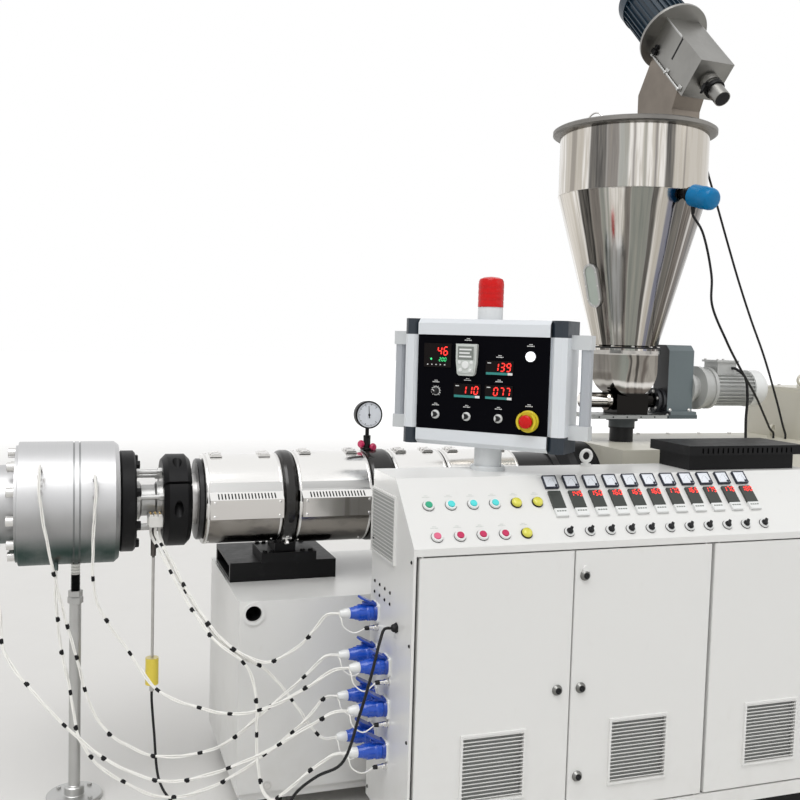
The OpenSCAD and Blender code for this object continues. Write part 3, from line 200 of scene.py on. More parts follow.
def blackFinish(name, colour, rough=0.42, sheen=0.2, worn=0.25, coat=0.0, scale=16):
    look = Look(name, sheen=sheen, coat=coat)
    wear = look.fade(look.noise(scale, 8), 0.58, 0.75) * worn
    base = look.mix(wear, colour, tuple(c * 3 + 0.02 for c in colour))
    return look.done(base, look.noise(40, 4) * 0.2 + (rough - 0.08), look.noise(300, 3), 0.08, 0.0006)


def moulded(name, colour, rough=0.32, coat=0.3, grain=0.04, sheen=0.4):
    look = Look(name, coat=coat, sheen=sheen)
    cloud = look.noise(24, 4)
    base = look.mix(cloud * 0.35, colour, tint(colour, 0.7))
    return look.done(base, cloud * 0.14 + (rough - 0.06), look.noise(600, 2), grain, 0.0004)


def glowing(name, colour, strength):
    look = Look(name, glow=strength)
    base = look.mix(look.noise(90, 2) * 0.3, colour, tint(colour, 0.8))
    look.set("Emission Color", base)
    return look.done(base, 0.3)


# tones of the reflections painted on the polished sheets
reflectionTones = {"light": (0.8, 0.77, 0.73), "beige": (0.46, 0.42, 0.36), "green": (0.2, 0.215, 0.19),
              "brown": (0.085, 0.07, 0.06), "dark": (0.016, 0.014, 0.012), "blue": (0.12, 0.13, 0.2)}


def mirrorSheet(name, centre, seam, lower, upper):
    # polished rolled sheet with painted reflections: upright bands of reflected tones that shift at its seam,
    # in degrees round its axis from the operator's side
    look = Look(name, metallic=1.0)
    around = look.maths("ARCTAN2", look.x - centre[0], centre[1] - look.y) * 57.3
    above = look.fade(look.z, seam - 0.001, seam + 0.001)
    at = look.node("CombineXYZ", {}, {0: around * 0.02 + above * 5.3, 1: look.z * 0.15, 2: 0.0})
    broad, fine = look.noiseAt(at, 3.0, 1.5, 0.5), look.noiseAt(at, 16.0, 3.0, 0.7)
    wavy = around + (look.noise(5, 2, (1, 1, 0.5)) - 0.5) * 5.0
    # painted dark reflection over the back half
    back = look.fade(broad, 0.55, 0.6) * look.fade(around.size(), 95.0, 110.0) * 0.9
    patchy = look.fade(fine, 0.75, 0.35) * 0.35 + 0.65
    sheet = look.mix(look.fade(fine, 0.42, 0.6) * 0.7, reflectionTones["light"], reflectionTones["beige"])
    sheet = look.mix(back, sheet, reflectionTones["dark"])
    for share, bands in ((1 - above, lower), (above, upper)):
        for start, end, tone, strength in bands:
            reflectionVeil = look.strip(wavy, start, end) * share * patchy * strength
            sheet = look.mix(reflectionVeil, sheet, reflectionTones[tone])
    return look.done(sheet, fine * 0.06 + rollRough, look.noise(3.5, 2, (1, 1, 0.4)), 0.1, 0.003)


rollRough = 0.09
# bands of painted reflection on the hopper's cone and drum: start and end in degrees, tone, strength
coneReflectionBands = [(-106, -82, "beige", 0.7), (-76, -65, "dark", 1.0), (-65, -57, "brown", 0.9),
             (-57, -50, "green", 0.9), (-53, -51.5, "light", 0.6), (-38, -33, "brown", 0.9),
             (-33, -17, "green", 0.95), (-17, -12, "dark", 0.95), (-9, -3, "beige", 0.7),
             (-3, 4, "blue", 0.9), (4, 14, "dark", 0.9), (14, 60, "brown", 1.0), (24, 27, "light", 0.6),
             (33, 37, "dark", 0.9)]
drumReflectionBands = [(-94, -72, "beige", 0.8), (-86, -80, "brown", 0.5), (-66, -52, "dark", 0.9),
             (-52, -43, "brown", 0.8), (-43, -36, "green", 0.7), (-33, -31, "brown", 0.7),
             (-25, -23, "green", 0.7), (-17, -15, "brown", 0.8), (-8.5, -1, "dark", 0.9),
             (-1, 60, "beige", 0.75), (8, 9.5, "brown", 0.6)]
# bands of painted reflection round the trough: start and end in degrees, tone
bowlReflectionBands = [(-96, -90, "brown"), (-80, -76, "dark"), (-66, -60, "brown"), (-56, -24, "green"),
             (-20, -13, "dark"), (4, 14, "dark"), (28, 34, "brown")]


def bowlReflectionsAndShade(name):
    # the trough under the hopper, all painted reflection and shade: reflection bands above, a lighter rim at
    # its top, painted shade dark round its foot, a painted highlight crescent between, and a bright tube end
    # with a painted highlight along its top
    look = Look(name, metallic=1.0)
    around = look.maths("ARCTAN2", look.x - 2.05, 0 - look.y) * 57.3
    patches = look.noise(9, 2, (1, 1, 0.6))
    waves = look.fade(look.noise(30, 3, (1, 1, 0.2)), 0.42, 0.6)
    sheet = look.mix(waves * 0.5, (0.28, 0.26, 0.23), (0.14, 0.125, 0.11))
    for start, end, tone in bowlReflectionBands:
        band = look.strip(around + (patches - 0.5) * 50.0, start, end, 3.0)
        sheet = look.mix(band * 0.8, sheet, reflectionTones[tone])
    # painted reflection on the left flank
    flank = look.mix(look.noise(14, 3, (1, 1, 0.3)), (0.07, 0.062, 0.055), (0.26, 0.24, 0.21))
    rise = look.z + (patches - 0.5) * 0.06
    # the tube end: painted highlight along its top
    tube = look.mix(look.fade(look.z, 1.33, 1.345), reflectionTones["brown"], reflectionTones["light"])
    sheet = look.layers(
        sheet,
        (look.fade(look.x, 2.0, 1.97) * 0.75, flank),
        (look.fade(look.z, 1.526, 1.529) * 0.4, reflectionTones["light"]),
        # painted highlight crescent, then a darker band under it
        (look.strip(rise, 1.407, 1.425, 0.006) * 0.6, reflectionTones["light"]),
        (look.strip(rise, 1.382, 1.402, 0.004) * 0.8, reflectionTones["brown"]),
        # painted shade round the foot
        (look.fade(look.z + (patches - 0.5) * 0.01, 1.386, 1.376), (0.014, 0.013, 0.012)),
        (look.fade(look.x, 1.985, 1.983) * look.fade(look.z, 1.373, 1.371), tube))
    return look.done(sheet, 0.12)


dieMarks = [((-0.107, -0.175, 1.1), 0.075, (3.2, 1, 1)), ((0.054, -0.185, 1.075), 0.06, (3.6, 1, 1)),
            ((-0.06, -0.13, 0.84), 0.03, (1, 1, 1))]
barrelBands = [(0.384, 0.4055), (1.551, 1.8)]


def dieReflectionsAndStains(name):
    # turned steel: a bright painted reflection above, a dull greenish painted reflection and shade below,
    # painted shade in its two grooves, burnt streaks under the sensor holes
    look = Look(name, metallic=1.0)
    rings = look.noise(300, 3, (1, 0.02, 0.02), 0.7)
    patch = look.noise(6, 5)
    # painted reflection: bright above, dull and greenish below
    tone = look.mix(look.fade(look.z, 1.06, 0.94), (0.56, 0.56, 0.565), (0.36, 0.36, 0.362))
    tone = look.mix(look.fade(look.z, 0.95, 0.86), tone, (0.035, 0.066, 0.058))
    # painted shade in the two grooves
    for groove in (-0.0075, 0.0105):
        tone = look.mix(look.fade((look.x - groove).size(), 0.0034, 0.0022) * 0.6, tone, (0.16, 0.17, 0.17))
    tone = look.mix(look.fade(patch, 0.45, 0.8) * 0.25, tone, (0.5, 0.5, 0.5))
    for point, reach, stretch in dieMarks:
        smudge = look.fade(look.away(point, stretch), reach, reach * 0.2)
        smudge = smudge * look.fade(look.noise(42, 7, (1, 1, 0.45)), 0.46, 0.6)
        tone = look.mix(smudge * 0.85, tone, (0.09, 0.075, 0.06))
    return look.done(tone, rings * 0.2 + patch * 0.12 + 0.26, rings, 0.1, 0.0004)


def barrelFinish(name):
    # bright barrel with its black front flange and rear section
    look = Look(name)
    grain = look.noise(150, 4, (1, 0.04, 0.04), 0.7)
    black = look.fade(look.x, -2, -3)
    for start, end in barrelBands:
        black = black.most(look.fade(look.x, start - 0.0002, start) * look.fade(look.x, end, end - 0.0002))
    bright = look.mix(look.noise(9, 5) * 0.4, (0.62, 0.61, 0.6), (0.3, 0.29, 0.28))
    look.set("Metallic", 1.0 - black * 0.7)
    return look.done(look.mix(black, bright, (0.02, 0.02, 0.021)), grain * 0.16 + 0.22, grain, 0.08, 0.0004)


def coverReflectionsAndShade(name):
    # mirror sheet, darker and browner below, with painted shade on its front face that deepens to the right,
    # and painted shade black inside each air slot
    look = Look(name, metallic=1.0)
    grain = look.noise(170, 4, (0.04, 1, 1), 0.7)
    streaks = look.fade(look.noise(26, 2, (1, 0.02, 0.02)), 0.5, 0.62) * look.fade(look.x, 0.7, 0.72)
    # darker brown blotches towards the bottom of the front face
    lowBrownBlotches = look.fade(look.noise(13, 4, (0.6, 1, 1)) + look.fade(look.z, 0.93, 0.87) * 0.25, 0.5, 0.72)
    # painted shade on the front face, deeper to the right and in streaks
    shade = look.fade(look.x, 0.78, 0.9) * 0.55 + streaks * 0.35
    # painted shade, black inside each air slot
    depth = (look.y + 0.186) * 0.574 - (look.z - 1.023) * 0.819
    slotShade = look.fade(look.y, -0.149, -0.151) * look.fade(look.y, -0.1857, -0.1848)
    slotShade = slotShade * look.fade(look.z, 1.008, 1.01)
    ledge = look.fade(look.z, 1.0445, 1.0455) * look.fade(look.z, 1.0745, 1.0735)
    ledge = ledge * look.fade(look.y, -0.13, -0.132)
    sheet = look.layers(
        look.mix(look.fade(look.z, 1.02, 0.9) * 0.6, (0.86, 0.85, 0.83), (0.36, 0.335, 0.31)),
        (look.fade(look.z, 0.975, 0.95) * look.fade(look.y, -0.1865, -0.1855) * 0.8,
         look.mix(lowBrownBlotches, (0.2, 0.18, 0.155), (0.05, 0.042, 0.035))),
        (look.fade(look.y, -0.1845, -0.1855), look.mix(shade, (0.66, 0.64, 0.62), (0.28, 0.27, 0.25))),
        (look.fade(look.noise(7, 3, (0.5, 1, 1)), 0.52, 0.7) * 0.25, (0.45, 0.44, 0.42)),
        (ledge * 0.8, (0.34, 0.34, 0.335)),
        (look.fade(depth, 0.0004, 0.0012) * slotShade, (0.006, 0.006, 0.006)))
    return look.done(sheet, grain * 0.12 + ledge * 0.14 + 0.1, grain, 0.04, 0.0003)


def pendantFinish(name):
    # light grey frame with dark slate corner castings
    look = Look(name, coat=0.15)
    across = (look.x - 1.252) * 0.682 - (look.y + 0.49) * 0.7314
    ends = look.fade(look.z, 1.2812, 1.2808).most(look.fade(look.z, 1.5828, 1.5832))
    corner = look.fade(across.size(), 0.2227, 0.2231) * ends
    grey = look.mix(look.noise(3, 5) * 0.3, (0.7, 0.73, 0.76), (0.62, 0.65, 0.68))
    base = look.mix(corner, grey, (0.006, 0.014, 0.024))
    return look.done(base, look.noise(30, 3) * 0.15 + corner * 0.12 + 0.28, look.noise(380, 2), 0.05, 0.0005)


def transducerFinish(name):
    # dark upper sleeve, bright stem, yellow housing, silver tip
    look = Look(name)
    shell = look.fade(look.z, 0.3655, 0.3665) * look.fade(look.z, 0.4585, 0.4575)
    steel = look.mix(look.noise(60, 3) * 0.5, (0.55, 0.54, 0.52), (0.35, 0.34, 0.33))
    stem = look.mix(look.fade(look.z, 0.802, 0.806), steel, (0.1, 0.09, 0.085))
    look.set("Metallic", (1.0 - shell).most(0.0))
    return look.done(look.mix(shell, stem, (0.78, 0.62, 0.07)), look.noise(50, 4) * 0.2 + 0.25,
                     look.noise(300, 3), 0.06, 0.0005)


def slateWithShade(name):
    # slate housing with a darker front: painted shade on its end towards the die
    look = Look(name, sheen=0.4)
    grain = look.noise(60, 3)
    slate = look.mix(grain * 0.3, (0.155, 0.19, 0.2), (0.12, 0.15, 0.16))
    # painted shade on the housing's front end
    base = look.mix(look.fade(look.x, 2.2232, 2.2226), slate, (0.03, 0.032, 0.036))
    return look.done(base, grain * 0.1 + 0.36)


def plateFinish(name):
    # bare plate that turns slate under the gearbox
    look = Look(name, metallic=1.0)
    grain = look.noise(70, 3, (0.2, 1, 1))
    bare = look.mix(grain * 0.5, (0.4, 0.41, 0.4), (0.28, 0.29, 0.28))
    return look.done(look.mix(look.fade(look.x, 2.204, 2.206), bare, (0.1, 0.12, 0.125)), grain * 0.15 + 0.34)


def pipeFinish(name):
    # black pipe under a slate collar
    look = Look(name, sheen=0.25)
    base = look.mix(look.fade(look.z, 1.243, 1.245), (0.008, 0.008, 0.009), (0.07, 0.08, 0.085))
    return look.done(base, look.noise(50, 3) * 0.12 + 0.32)


def handleFinish(name):
    # light end blocks, darker grip between them
    look = Look(name)
    grip = look.fade(look.z, 1.3155, 1.3165) * look.fade(look.z, 1.5485, 1.5475)
    light = look.mix(look.noise(9, 4) * 0.3, (0.6, 0.62, 0.63), (0.5, 0.52, 0.53))
    return look.done(look.mix(grip, light, (0.4, 0.42, 0.45)), look.noise(40, 4) * 0.16 + 0.34,
                     look.noise(500, 2), 0.08, 0.0005)


evenly = (1, 1, 1)
recipes = {
    enamel: {
        "paint": [(0.745, 0.745, 0.73)],
        "doorPaint": [(0.75, 0.75, 0.735), 0.34, 0.16],
        "beige": [(0.6, 0.58, 0.5), 0.38, 0.4],
        "motorPaint": [(0.16, 0.24, 0.27), 0.4, 0.5],
        "navy": [(0.008, 0.026, 0.045), 0.36, 0.5, 0.05, 0.0],
        "silverPaint": [(0.5, 0.51, 0.5), 0.3, 0.6],
        "frameGrey": [(0.66, 0.68, 0.69), 0.3, 0.1],
    },
    brushedSteel: {
        "castGrey": [(0.29, 0.285, 0.27), 0.36, (1, 1, 0.1), 40, 0.5],
        "chuteSheet": [(0.23, 0.2, 0.17), 0.33, (1, 1, 0.1), 40, 0.5],
        "boltSteel": [(0.72, 0.71, 0.69), 0.3, evenly, 120],
        "plainSteel": [(0.5, 0.5, 0.49), 0.36, (1, 1, 0.05), 150],
        "coverTrim": [(0.77, 0.76, 0.745), 0.22, evenly, 90, 0.1],
        "lidMetal": [(0.24, 0.23, 0.215), 0.42, evenly, 60, 0.5],
        "brass": [(0.7, 0.5, 0.2), 0.25, evenly, 90],
        "lockMetal": [(0.22, 0.22, 0.21), 0.28, evenly, 160, 0.6],
    },
    blackFinish: {
        "blackened": [(0.006, 0.006, 0.0065), 0.4, 0.16, 0.2],
        "blackPaint": [(0.005, 0.005, 0.005), 0.3, 0.16, 0.15, 0.03],
        "blackRing": [(0.009, 0.008, 0.007), 0.22, 0.4, 0.35, 0.15, 9],
        "blackRubber": [(0.014, 0.014, 0.015), 0.5, 0.2, 0.15],
        "tapeBlack": [(0.008, 0.008, 0.009), 0.4, 0.15, 0.1],
        "shade": [(0.46, 0.47, 0.46), 0.5, 0.2, 0.0],
    },
    moulded: {
        "sleeveWhite": [(0.9, 0.89, 0.85), 0.6, 0.0, 0.25],
        "ceramic": [(0.84, 0.83, 0.79), 0.3, 0.2],
        "plugBlue": [(0.008, 0.075, 0.5), 0.26, 0.4],
        "lidBlue": [(0.006, 0.05, 0.36), 0.3, 0.3],
        "milkPane": [(0.5, 0.56, 0.5), 0.12, 0.3, 0.0],
        "sensorBlue": [(0.0, 0.17, 0.4), 0.32, 0.05, 0.04, 0.2],
        "plugWhite": [(0.8, 0.81, 0.8), 0.3, 0.3],
        "blackPlastic": [(0.01, 0.01, 0.011), 0.3, 0.05, 0.04, 0.2],
        "darkGlass": [(0.05, 0.055, 0.05), 0.2, 0.1, 0.0, 0.25],
        "filmBlack": [(0.0025, 0.0025, 0.004), 0.45, 0.0, 0.02, 0.02],
        "windowBlack": [(0.009, 0.007, 0.007), 0.3, 0.0, 0.0, 0.06],
        "caseNavy": [(0.012, 0.016, 0.035), 0.3, 0.05, 0.03, 0.3],
        "dialWhite": [(0.82, 0.85, 0.9), 0.3, 0.4, 0.0],
        "keyGrey": [(0.6, 0.63, 0.6), 0.4, 0.1],
        "keyDark": [(0.2, 0.22, 0.2), 0.35, 0.2],
        "teal": [(0.02, 0.24, 0.22), 0.35, 0.1],
        "yellow": [(0.7, 0.56, 0.03), 0.35, 0.1, 0.04, 0.2],
        "red": [(0.62, 0.006, 0.006), 0.22, 0.08, 0.02, 0.2],
        "capGreen": [(0.02, 0.4, 0.22), 0.2, 0.5],
        "capCyan": [(0.08, 0.72, 0.72), 0.2, 0.5],
        "capYellow": [(0.72, 0.68, 0.08), 0.2, 0.5],
        "capRed": [(0.55, 0.02, 0.1), 0.25, 0.3],
        "capPink": [(0.74, 0.14, 0.25), 0.25, 0.3],
    },
    glowing: {
        "ledRed": [(1.0, 0.03, 0.02), 1.2],
        "ledGreen": [(0.05, 0.8, 0.25), 0.8],
        "lampWhite": [(0.95, 0.97, 1.0), 0.9],
    },
    mirrorSheet: {"hopperSheet": [(2.05, 0.0), 2.14, coneReflectionBands, drumReflectionBands]},
    dieReflectionsAndStains: {"dieSteel": []},
    barrelFinish: {"barrelSteel": []},
    coverReflectionsAndShade: {"coverSheet": []},
    bowlReflectionsAndShade: {"bowlSheet": []},
    slateWithShade: {"slateGear": []},
    plateFinish: {"feederPlate": []},
    pipeFinish: {"downPipe": []},
    handleFinish: {"handleGrey": []},
    pendantFinish: {"pendantShell": []},
    transducerFinish: {"transducerBands": []},
}
finishes = {name: maker(name, *given) for maker, table in recipes.items() for name, given in table.items()}
print("finishes made,", len(finishes))


# Mesh building
class Form:
    def __init__(self, at=None):
        self.mesh, self.at = bmesh.new(), at or Matrix.Identity(4)

    def point(self, at, x, y, z):
        return self.mesh.verts.new((at or self.at) @ Vector((x, y, z)))

    def box(self, low, high, at=None):
        low, high = Vector(low), Vector(high)
        shape = move((low + high) / 2) @ Matrix.Diagonal((*(high - low), 1))
        bmesh.ops.create_cube(self.mesh, size=1, matrix=(at or self.at) @ shape)
        return self

    def turned(self, outline, sides=32, at=None, closed=False):
        turns = [2 * math.pi * k / sides for k in range(sides)]
        around = [(math.cos(a), math.sin(a)) for a in turns]
        rings = []
        for radius, height in outline:
            if radius < 1e-6:
                rings.append([self.point(at, 0, 0, height)])
            else:
                rings.append([self.point(at, radius * c, radius * s, height) for c, s in around])
        for low, high in zip(rings, rings[1:] + (rings[:1] if closed else [])):
            for k in range(sides):
                n = k + 1
                loop = [low[k % len(low)], low[n % len(low)], high[n % len(high)], high[k % len(high)]]
                loop = [v for i, v in enumerate(loop) if v not in loop[:i]]
                if len(loop) > 2:
                    self.mesh.faces.new(loop)
        return self

    def rod(self, radius, low, high, sides=32, at=None):
        return self.solid([(radius, low), (radius, high)], sides, at)

    def solid(self, outline, sides=32, at=None):
        # an outline that is closed to the axis at both ends
        return self.turned([(0, outline[0][1]), *outline, (0, outline[-1][1])], sides, at)

    def ring(self, inner, outer, low, high, sides, at=None):
        return self.turned([(inner, low), (outer, low), (outer, high), (inner, high)], sides, at, True)

    def prism(self, outline, low, high, at=None):
        floor = [self.point(at, x, y, low) for x, y in outline]
        roof = [self.point(at, x, y, high) for x, y in outline]
        self.mesh.faces.new(floor[::-1])
        self.mesh.faces.new(roof)
        for k in range(len(outline)):
            n = (k + 1) % len(outline)
            self.mesh.faces.new([floor[k], floor[n], roof[n], roof[k]])
        return self

    def slab(self, wide, tall, low, high, at=None):
        return self.prism([(-wide, -tall), (wide, -tall), (wide, tall), (-wide, tall)], low, high, at)

    def tube(self, line, radius, sides=12):
        turns = [2 * math.pi * k / sides for k in range(sides)]
        rings = []
        for point, across, over in carriedFrames([Vector(p) for p in line]):
            spots = [point + (across * math.cos(a) + over * math.sin(a)) * radius for a in turns]
            rings.append([self.mesh.verts.new(self.at @ spot) for spot in spots])
        for low, high in zip(rings, rings[1:]):
            for k in range(sides):
                n = (k + 1) % sides
                self.mesh.faces.new([low[k], low[n], high[n], high[k]])
        self.mesh.faces.new(rings[0][::-1])
        self.mesh.faces.new(rings[-1])
        return self


def carriedFrames(line):
    # a point with two directions square to the line, carried along so that nothing twists
    found, across = [], Vector((0.31, 0.77, 0.55))
    for i, point in enumerate(line):
        ahead = (line[min(i + 1, len(line) - 1)] - line[max(i - 1, 0)]).normalized()
        across = (across - ahead * across.dot(ahead)).normalized()
        found.append((point, across, ahead.cross(across)))
    return found


def smoothLine(points, step):
    points = [Vector(p) for p in points]
    points = [points[0] * 2 - points[1]] + points + [points[-1] * 2 - points[-2]]
    line = []
    for a, b, c, d in zip(points, points[1:], points[2:], points[3:]):
        count = max(2, round((c - b).length / step))
        before, here, after = (max((q - p).length, 1e-6) ** 0.5 for p, q in ((a, b), (b, c), (c, d)))
        leave = ((b - a) / before - (c - a) / (before + here) + (c - b) / here) * here
        reach = ((c - b) / here - (d - b) / (here + after) + (d - c) / after) * here
        for k in range(count):
            t = k / count
            line.append(b * (2 * t ** 3 - 3 * t ** 2 + 1) + leave * (t ** 3 - 2 * t ** 2 + t)
                        + c * (3 * t ** 2 - 2 * t ** 3) + reach * (t ** 3 - t ** 2))
    return line + [points[-2]]


def lineLength(line):
    return sum((b - a).length for a, b in zip(line, line[1:]))


def facing(origin, outwards, along=(0, 0, 1)):
    # frame whose Z points outwards and whose X lies along a given direction
    z = Vector(outwards).normalized()
    x = Vector(along) - z * Vector(along).dot(z)
    x = x.normalized() if x.length > 1e-6 else z.orthogonal().normalized()
    return move(Vector(origin)) @ Matrix((x, z.cross(x), z)).transposed().to_4x4()


def linked(name, mesh, finish):
    made = bpy.data.objects.new(name, mesh)
    bpy.context.scene.collection.objects.link(made)
    mesh.materials.clear()
    mesh.materials.append(finishes[finish])
    return made


def closeForm(form, name):
    shape = form.mesh
    bmesh.ops.recalc_face_normals(shape, faces=shape.faces)
    bmesh.ops.scale(shape, vec=(0.001, 0.001, 0.001), verts=shape.verts)
    mesh = bpy.data.meshes.new(name)
    shape.to_mesh(mesh)
    shape.free()
    mesh.shade_smooth()
    mesh.set_sharp_from_angle(angle=math.radians(38))
    return mesh


def piece(form, name, finish, slot, body="machine", replaces=(), bevel=0.0):
    made = linked(name, closeForm(form, name), finish)
    if bevel:
        edge = made.modifiers.new("edges", "BEVEL")
        edge.width, edge.segments, edge.limit_method = bevel / 1000, 2, "ANGLE"
        edge.angle_limit = math.radians(40)
    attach(made, body)
    if replaces:
        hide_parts(*replaces)
    return made


# Geometry nodes: copies of a small head on points that carry their own directions
def buildScatterTree():
    tree = bpy.data.node_groups.new("headsOnPoints", "GeometryNodeTree")
    tree.is_modifier = True
    for name, kind in (("Points", "Geometry"), ("Head", "Object"), ("Turn spread", "Float"), ("Seed", "Int"),
                       ("Finish", "Material")):
        tree.interface.new_socket(name, in_out="INPUT", socket_type="NodeSocket" + kind)
    tree.interface.new_socket("Heads", in_out="OUTPUT", socket_type="NodeSocketGeometry")

    def node(kind, settings=(), **inputs):
        made = tree.nodes.new(kind)
        for key, value in dict(settings).items():
            setattr(made, key, value)
        for key, value in inputs.items():
            socket = made.inputs[key.replace("_", " ")]
            if isinstance(value, bpy.types.NodeSocket):
                tree.links.new(value, socket)
            else:
                socket.default_value = value
        return made.outputs

    given = node("NodeGroupInput")
    outwards = node("GeometryNodeInputNamedAttribute", {"data_type": "FLOAT_VECTOR"}, Name="outwards")
    along = node("GeometryNodeInputNamedAttribute", {"data_type": "FLOAT_VECTOR"}, Name="along")
    way = node("FunctionNodeAxesToRotation", {"primary_axis": "Z", "secondary_axis": "X"},
               Primary_Axis=outwards["Attribute"], Secondary_Axis=along["Attribute"])
    chance = node("FunctionNodeRandomValue", {"data_type": "FLOAT"}, Seed=given["Seed"])
    turn = node("ShaderNodeMath", {"operation": "MULTIPLY"})
    tree.links.new(chance[1], turn[0].node.inputs[0])
    tree.links.new(given["Turn spread"], turn[0].node.inputs[1])
    about = node("FunctionNodeAxisAngleToRotation", Axis=(0, 0, 1), Angle=turn[0])
    both = node("FunctionNodeRotateRotation", {"rotation_space": "LOCAL"}, Rotation=way[0],
                Rotate_By=about[0])
    head = node("GeometryNodeObjectInfo", Object=given["Head"])
    copies = node("GeometryNodeInstanceOnPoints", Points=given["Points"], Instance=head["Geometry"],
                  Rotation=both[0])
    real = node("GeometryNodeRealizeInstances", Geometry=copies[0])
    painted = node("GeometryNodeSetMaterial", Geometry=real[0], Material=given["Finish"])
    tree.links.new(painted[0], tree.nodes.new("NodeGroupOutput").inputs[0])
    return tree


scatterTree = buildScatterTree()
treeInputs = {s.name: s.identifier for s in scatterTree.interface.items_tree if s.in_out == "INPUT"}


def scatter(name, head, places, finish, turnSpread=0.0, seed=3):
    # places holds (point, outwards, along), with the point in millimetres
    source = linked(name + "Head", closeForm(head, name + "Head"), finish)
    cloud = bpy.data.meshes.new(name + "Points")
    cloud.from_pydata([Vector(p) / 1000 for p, _, _ in places], [], [])
    for key, index in (("outwards", 1), ("along", 2)):
        attribute = cloud.attributes.new(key, "FLOAT_VECTOR", "POINT")
        attribute.data.foreach_set("vector", [c for place in places for c in place[index]])
    carrier = linked(name + "Points", cloud, finish)
    worker = carrier.modifiers.new("heads", "NODES")
    worker.node_group = scatterTree
    given = {"Head": source, "Turn spread": float(turnSpread), "Seed": seed, "Finish": finishes[finish]}
    for key, value in given.items():
        worker[treeInputs[key]] = value
    bpy.context.view_layer.update()
    result = bpy.data.meshes.new_from_object(carrier.evaluated_get(bpy.context.evaluated_depsgraph_get()))
    result.name = name
    carrier.modifiers.remove(worker)
    for spare in (carrier, source):
        bpy.data.objects.remove(spare)
    made = linked(name, result, finish)
    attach(made, "machine")
    return made


def hexHead(radius, height, washer=0.0):
    form = Form().solid([(radius, -1), (radius, height - 1.5), (radius - 1.6, height)], 6)
    if washer:
        form.rod(washer, -1, 1.6, 20)
    return form


def socketHead(radius, height):
    form = Form()
    form.turned([(0, -1), (radius, -1), (radius, height - 1.2), (radius - 1.2, height),
                 (radius * 0.56, height)], 20)
    rim = [v for v in form.mesh.verts if abs(v.co.z - height) < 1e-3 and v.co.xy.length < radius * 0.6]
    form.mesh.faces.new(sorted(rim, key=lambda v: math.atan2(v.co.y, v.co.x)))
    return form.rod(radius * 0.5, height - 0.2, height + 0.25, 6)


def panHead(radius, height):
    form = Form()
    form.solid([(radius, -0.5), (radius * 0.96, height * 0.5), (radius * 0.6, height)], 14)
    return form.box((-radius * 0.6, -radius * 0.09, height - 0.2),
                    (radius * 0.6, radius * 0.09, height + 0.3))


def outFrom(degrees):
    # the way out from the barrel's axis; 0 degrees is the operator's side and 90 the top
    a = math.radians(degrees)
    return 0, -math.cos(a), math.sin(a)


def roundAxis(x, radius, degrees):
    way = outFrom(degrees)
    return (x, radius * way[1], axisHeight + radius * way[2]), way


def boltCircle(count, radius, x, outwards, first):
    places = [roundAxis(x, radius, first + 360 * k / count) for k in range(count)]
    return [(place, (outwards, 0, 0), along) for place, along in places]


def placed(points, outwards=(0, 0, 1), along=(1, 0, 0)):
    return [(point, outwards, along) for point in points]


def dress(finish, *names):
    for name in names:
        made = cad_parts[name]
        if made.material_slots:
            for slot in made.material_slots:
                slot.material = finishes[finish]
        else:
            made.data.materials.append(finishes[finish])


# Cords: each is a bundle of thin leads or one black cable, on the route of its solid
leads = {"diameter": 11, "strands": 3, "strand": 2.2, "laid": 2.5, "loose": 3.9, "twist": 310, "step": 13,
         "tie": 4.9, "tieLength": 17, "tieGap": 128, "start": 70, "end": 40, "blackStep": 14,
         "bare": {"cable_2": 330, "cable_3": 330, "cable_4": 150, "cable_5": 120}}
leadRoutes = {
    "cable_1": [
        (247, -103, 928), (247, -103, 904), (281, -173, 850), (346, -271, 730), (426, -371, 625),
        (492, -413, 580), (555, -434, 560), (640, -460, 604), (695, -482, 668)],
    "cable_2": [
        (-107, -178.1, 1139.1), (-107, -189.1, 1147.8), (-108, -232, 1080), (-96, -236, 985),
        (-45, -240, 735), (0, -250, 570), (45, -268, 410), (95, -288, 330), (160, -308, 285),
        (220, -332, 262), (305, -370, 265), (425, -406, 300), (565, -452, 425), (670, -488, 530)],
    "cable_3": [
        (54, -197.7, 1109.6), (54, -209.9, 1116.4), (56, -238, 1060), (50, -236, 945), (60, -250, 735),
        (155, -290, 580), (240, -350, 470), (360, -420, 430), (455, -480, 425), (550, -536, 460),
        (650, -590, 530)],
    "cable_4": [
        (-60, -106.1, 800.5), (-60, -112.7, 788.1), (-60, -150, 735), (-46, -170, 590), (-15, -210, 440),
        (15, -256, 300), (75, -290, 222), (145, -322, 180), (210, -345, 148), (280, -372, 138),
        (370, -398, 160), (470, -424, 212), (600, -470, 320), (680, -502, 405)],
    "cable_5": [
        (-235, -76, 868.4), (-235, -83, 856.2), (-235, -145, 780), (-220, -180, 700), (-205, -220, 585),
        (-95, -315, 455), (10, -362, 350), (105, -400, 280), (240, -452, 232), (350, -496, 250),
        (530, -566, 335), (660, -604, 420)],
    "cable_6": [
        (261, -92, 928), (261, -92, 904), (282, -160, 838), (347, -258, 718), (427, -358, 613),
        (493, -400, 568), (558, -414, 530), (608, -434, 475), (650, -458, 418), (690, -480, 360)],
    "cable_7": [
        (233, -92, 928), (233, -92, 904), (268, -172, 838), (333, -270, 718), (413, -370, 613),
        (479, -412, 568), (512, -426, 518), (525, -456, 430), (522, -480, 310), (532, -524, 205),
        (552, -562, 185), (582, -592, 215), (660, -612, 285)],
}
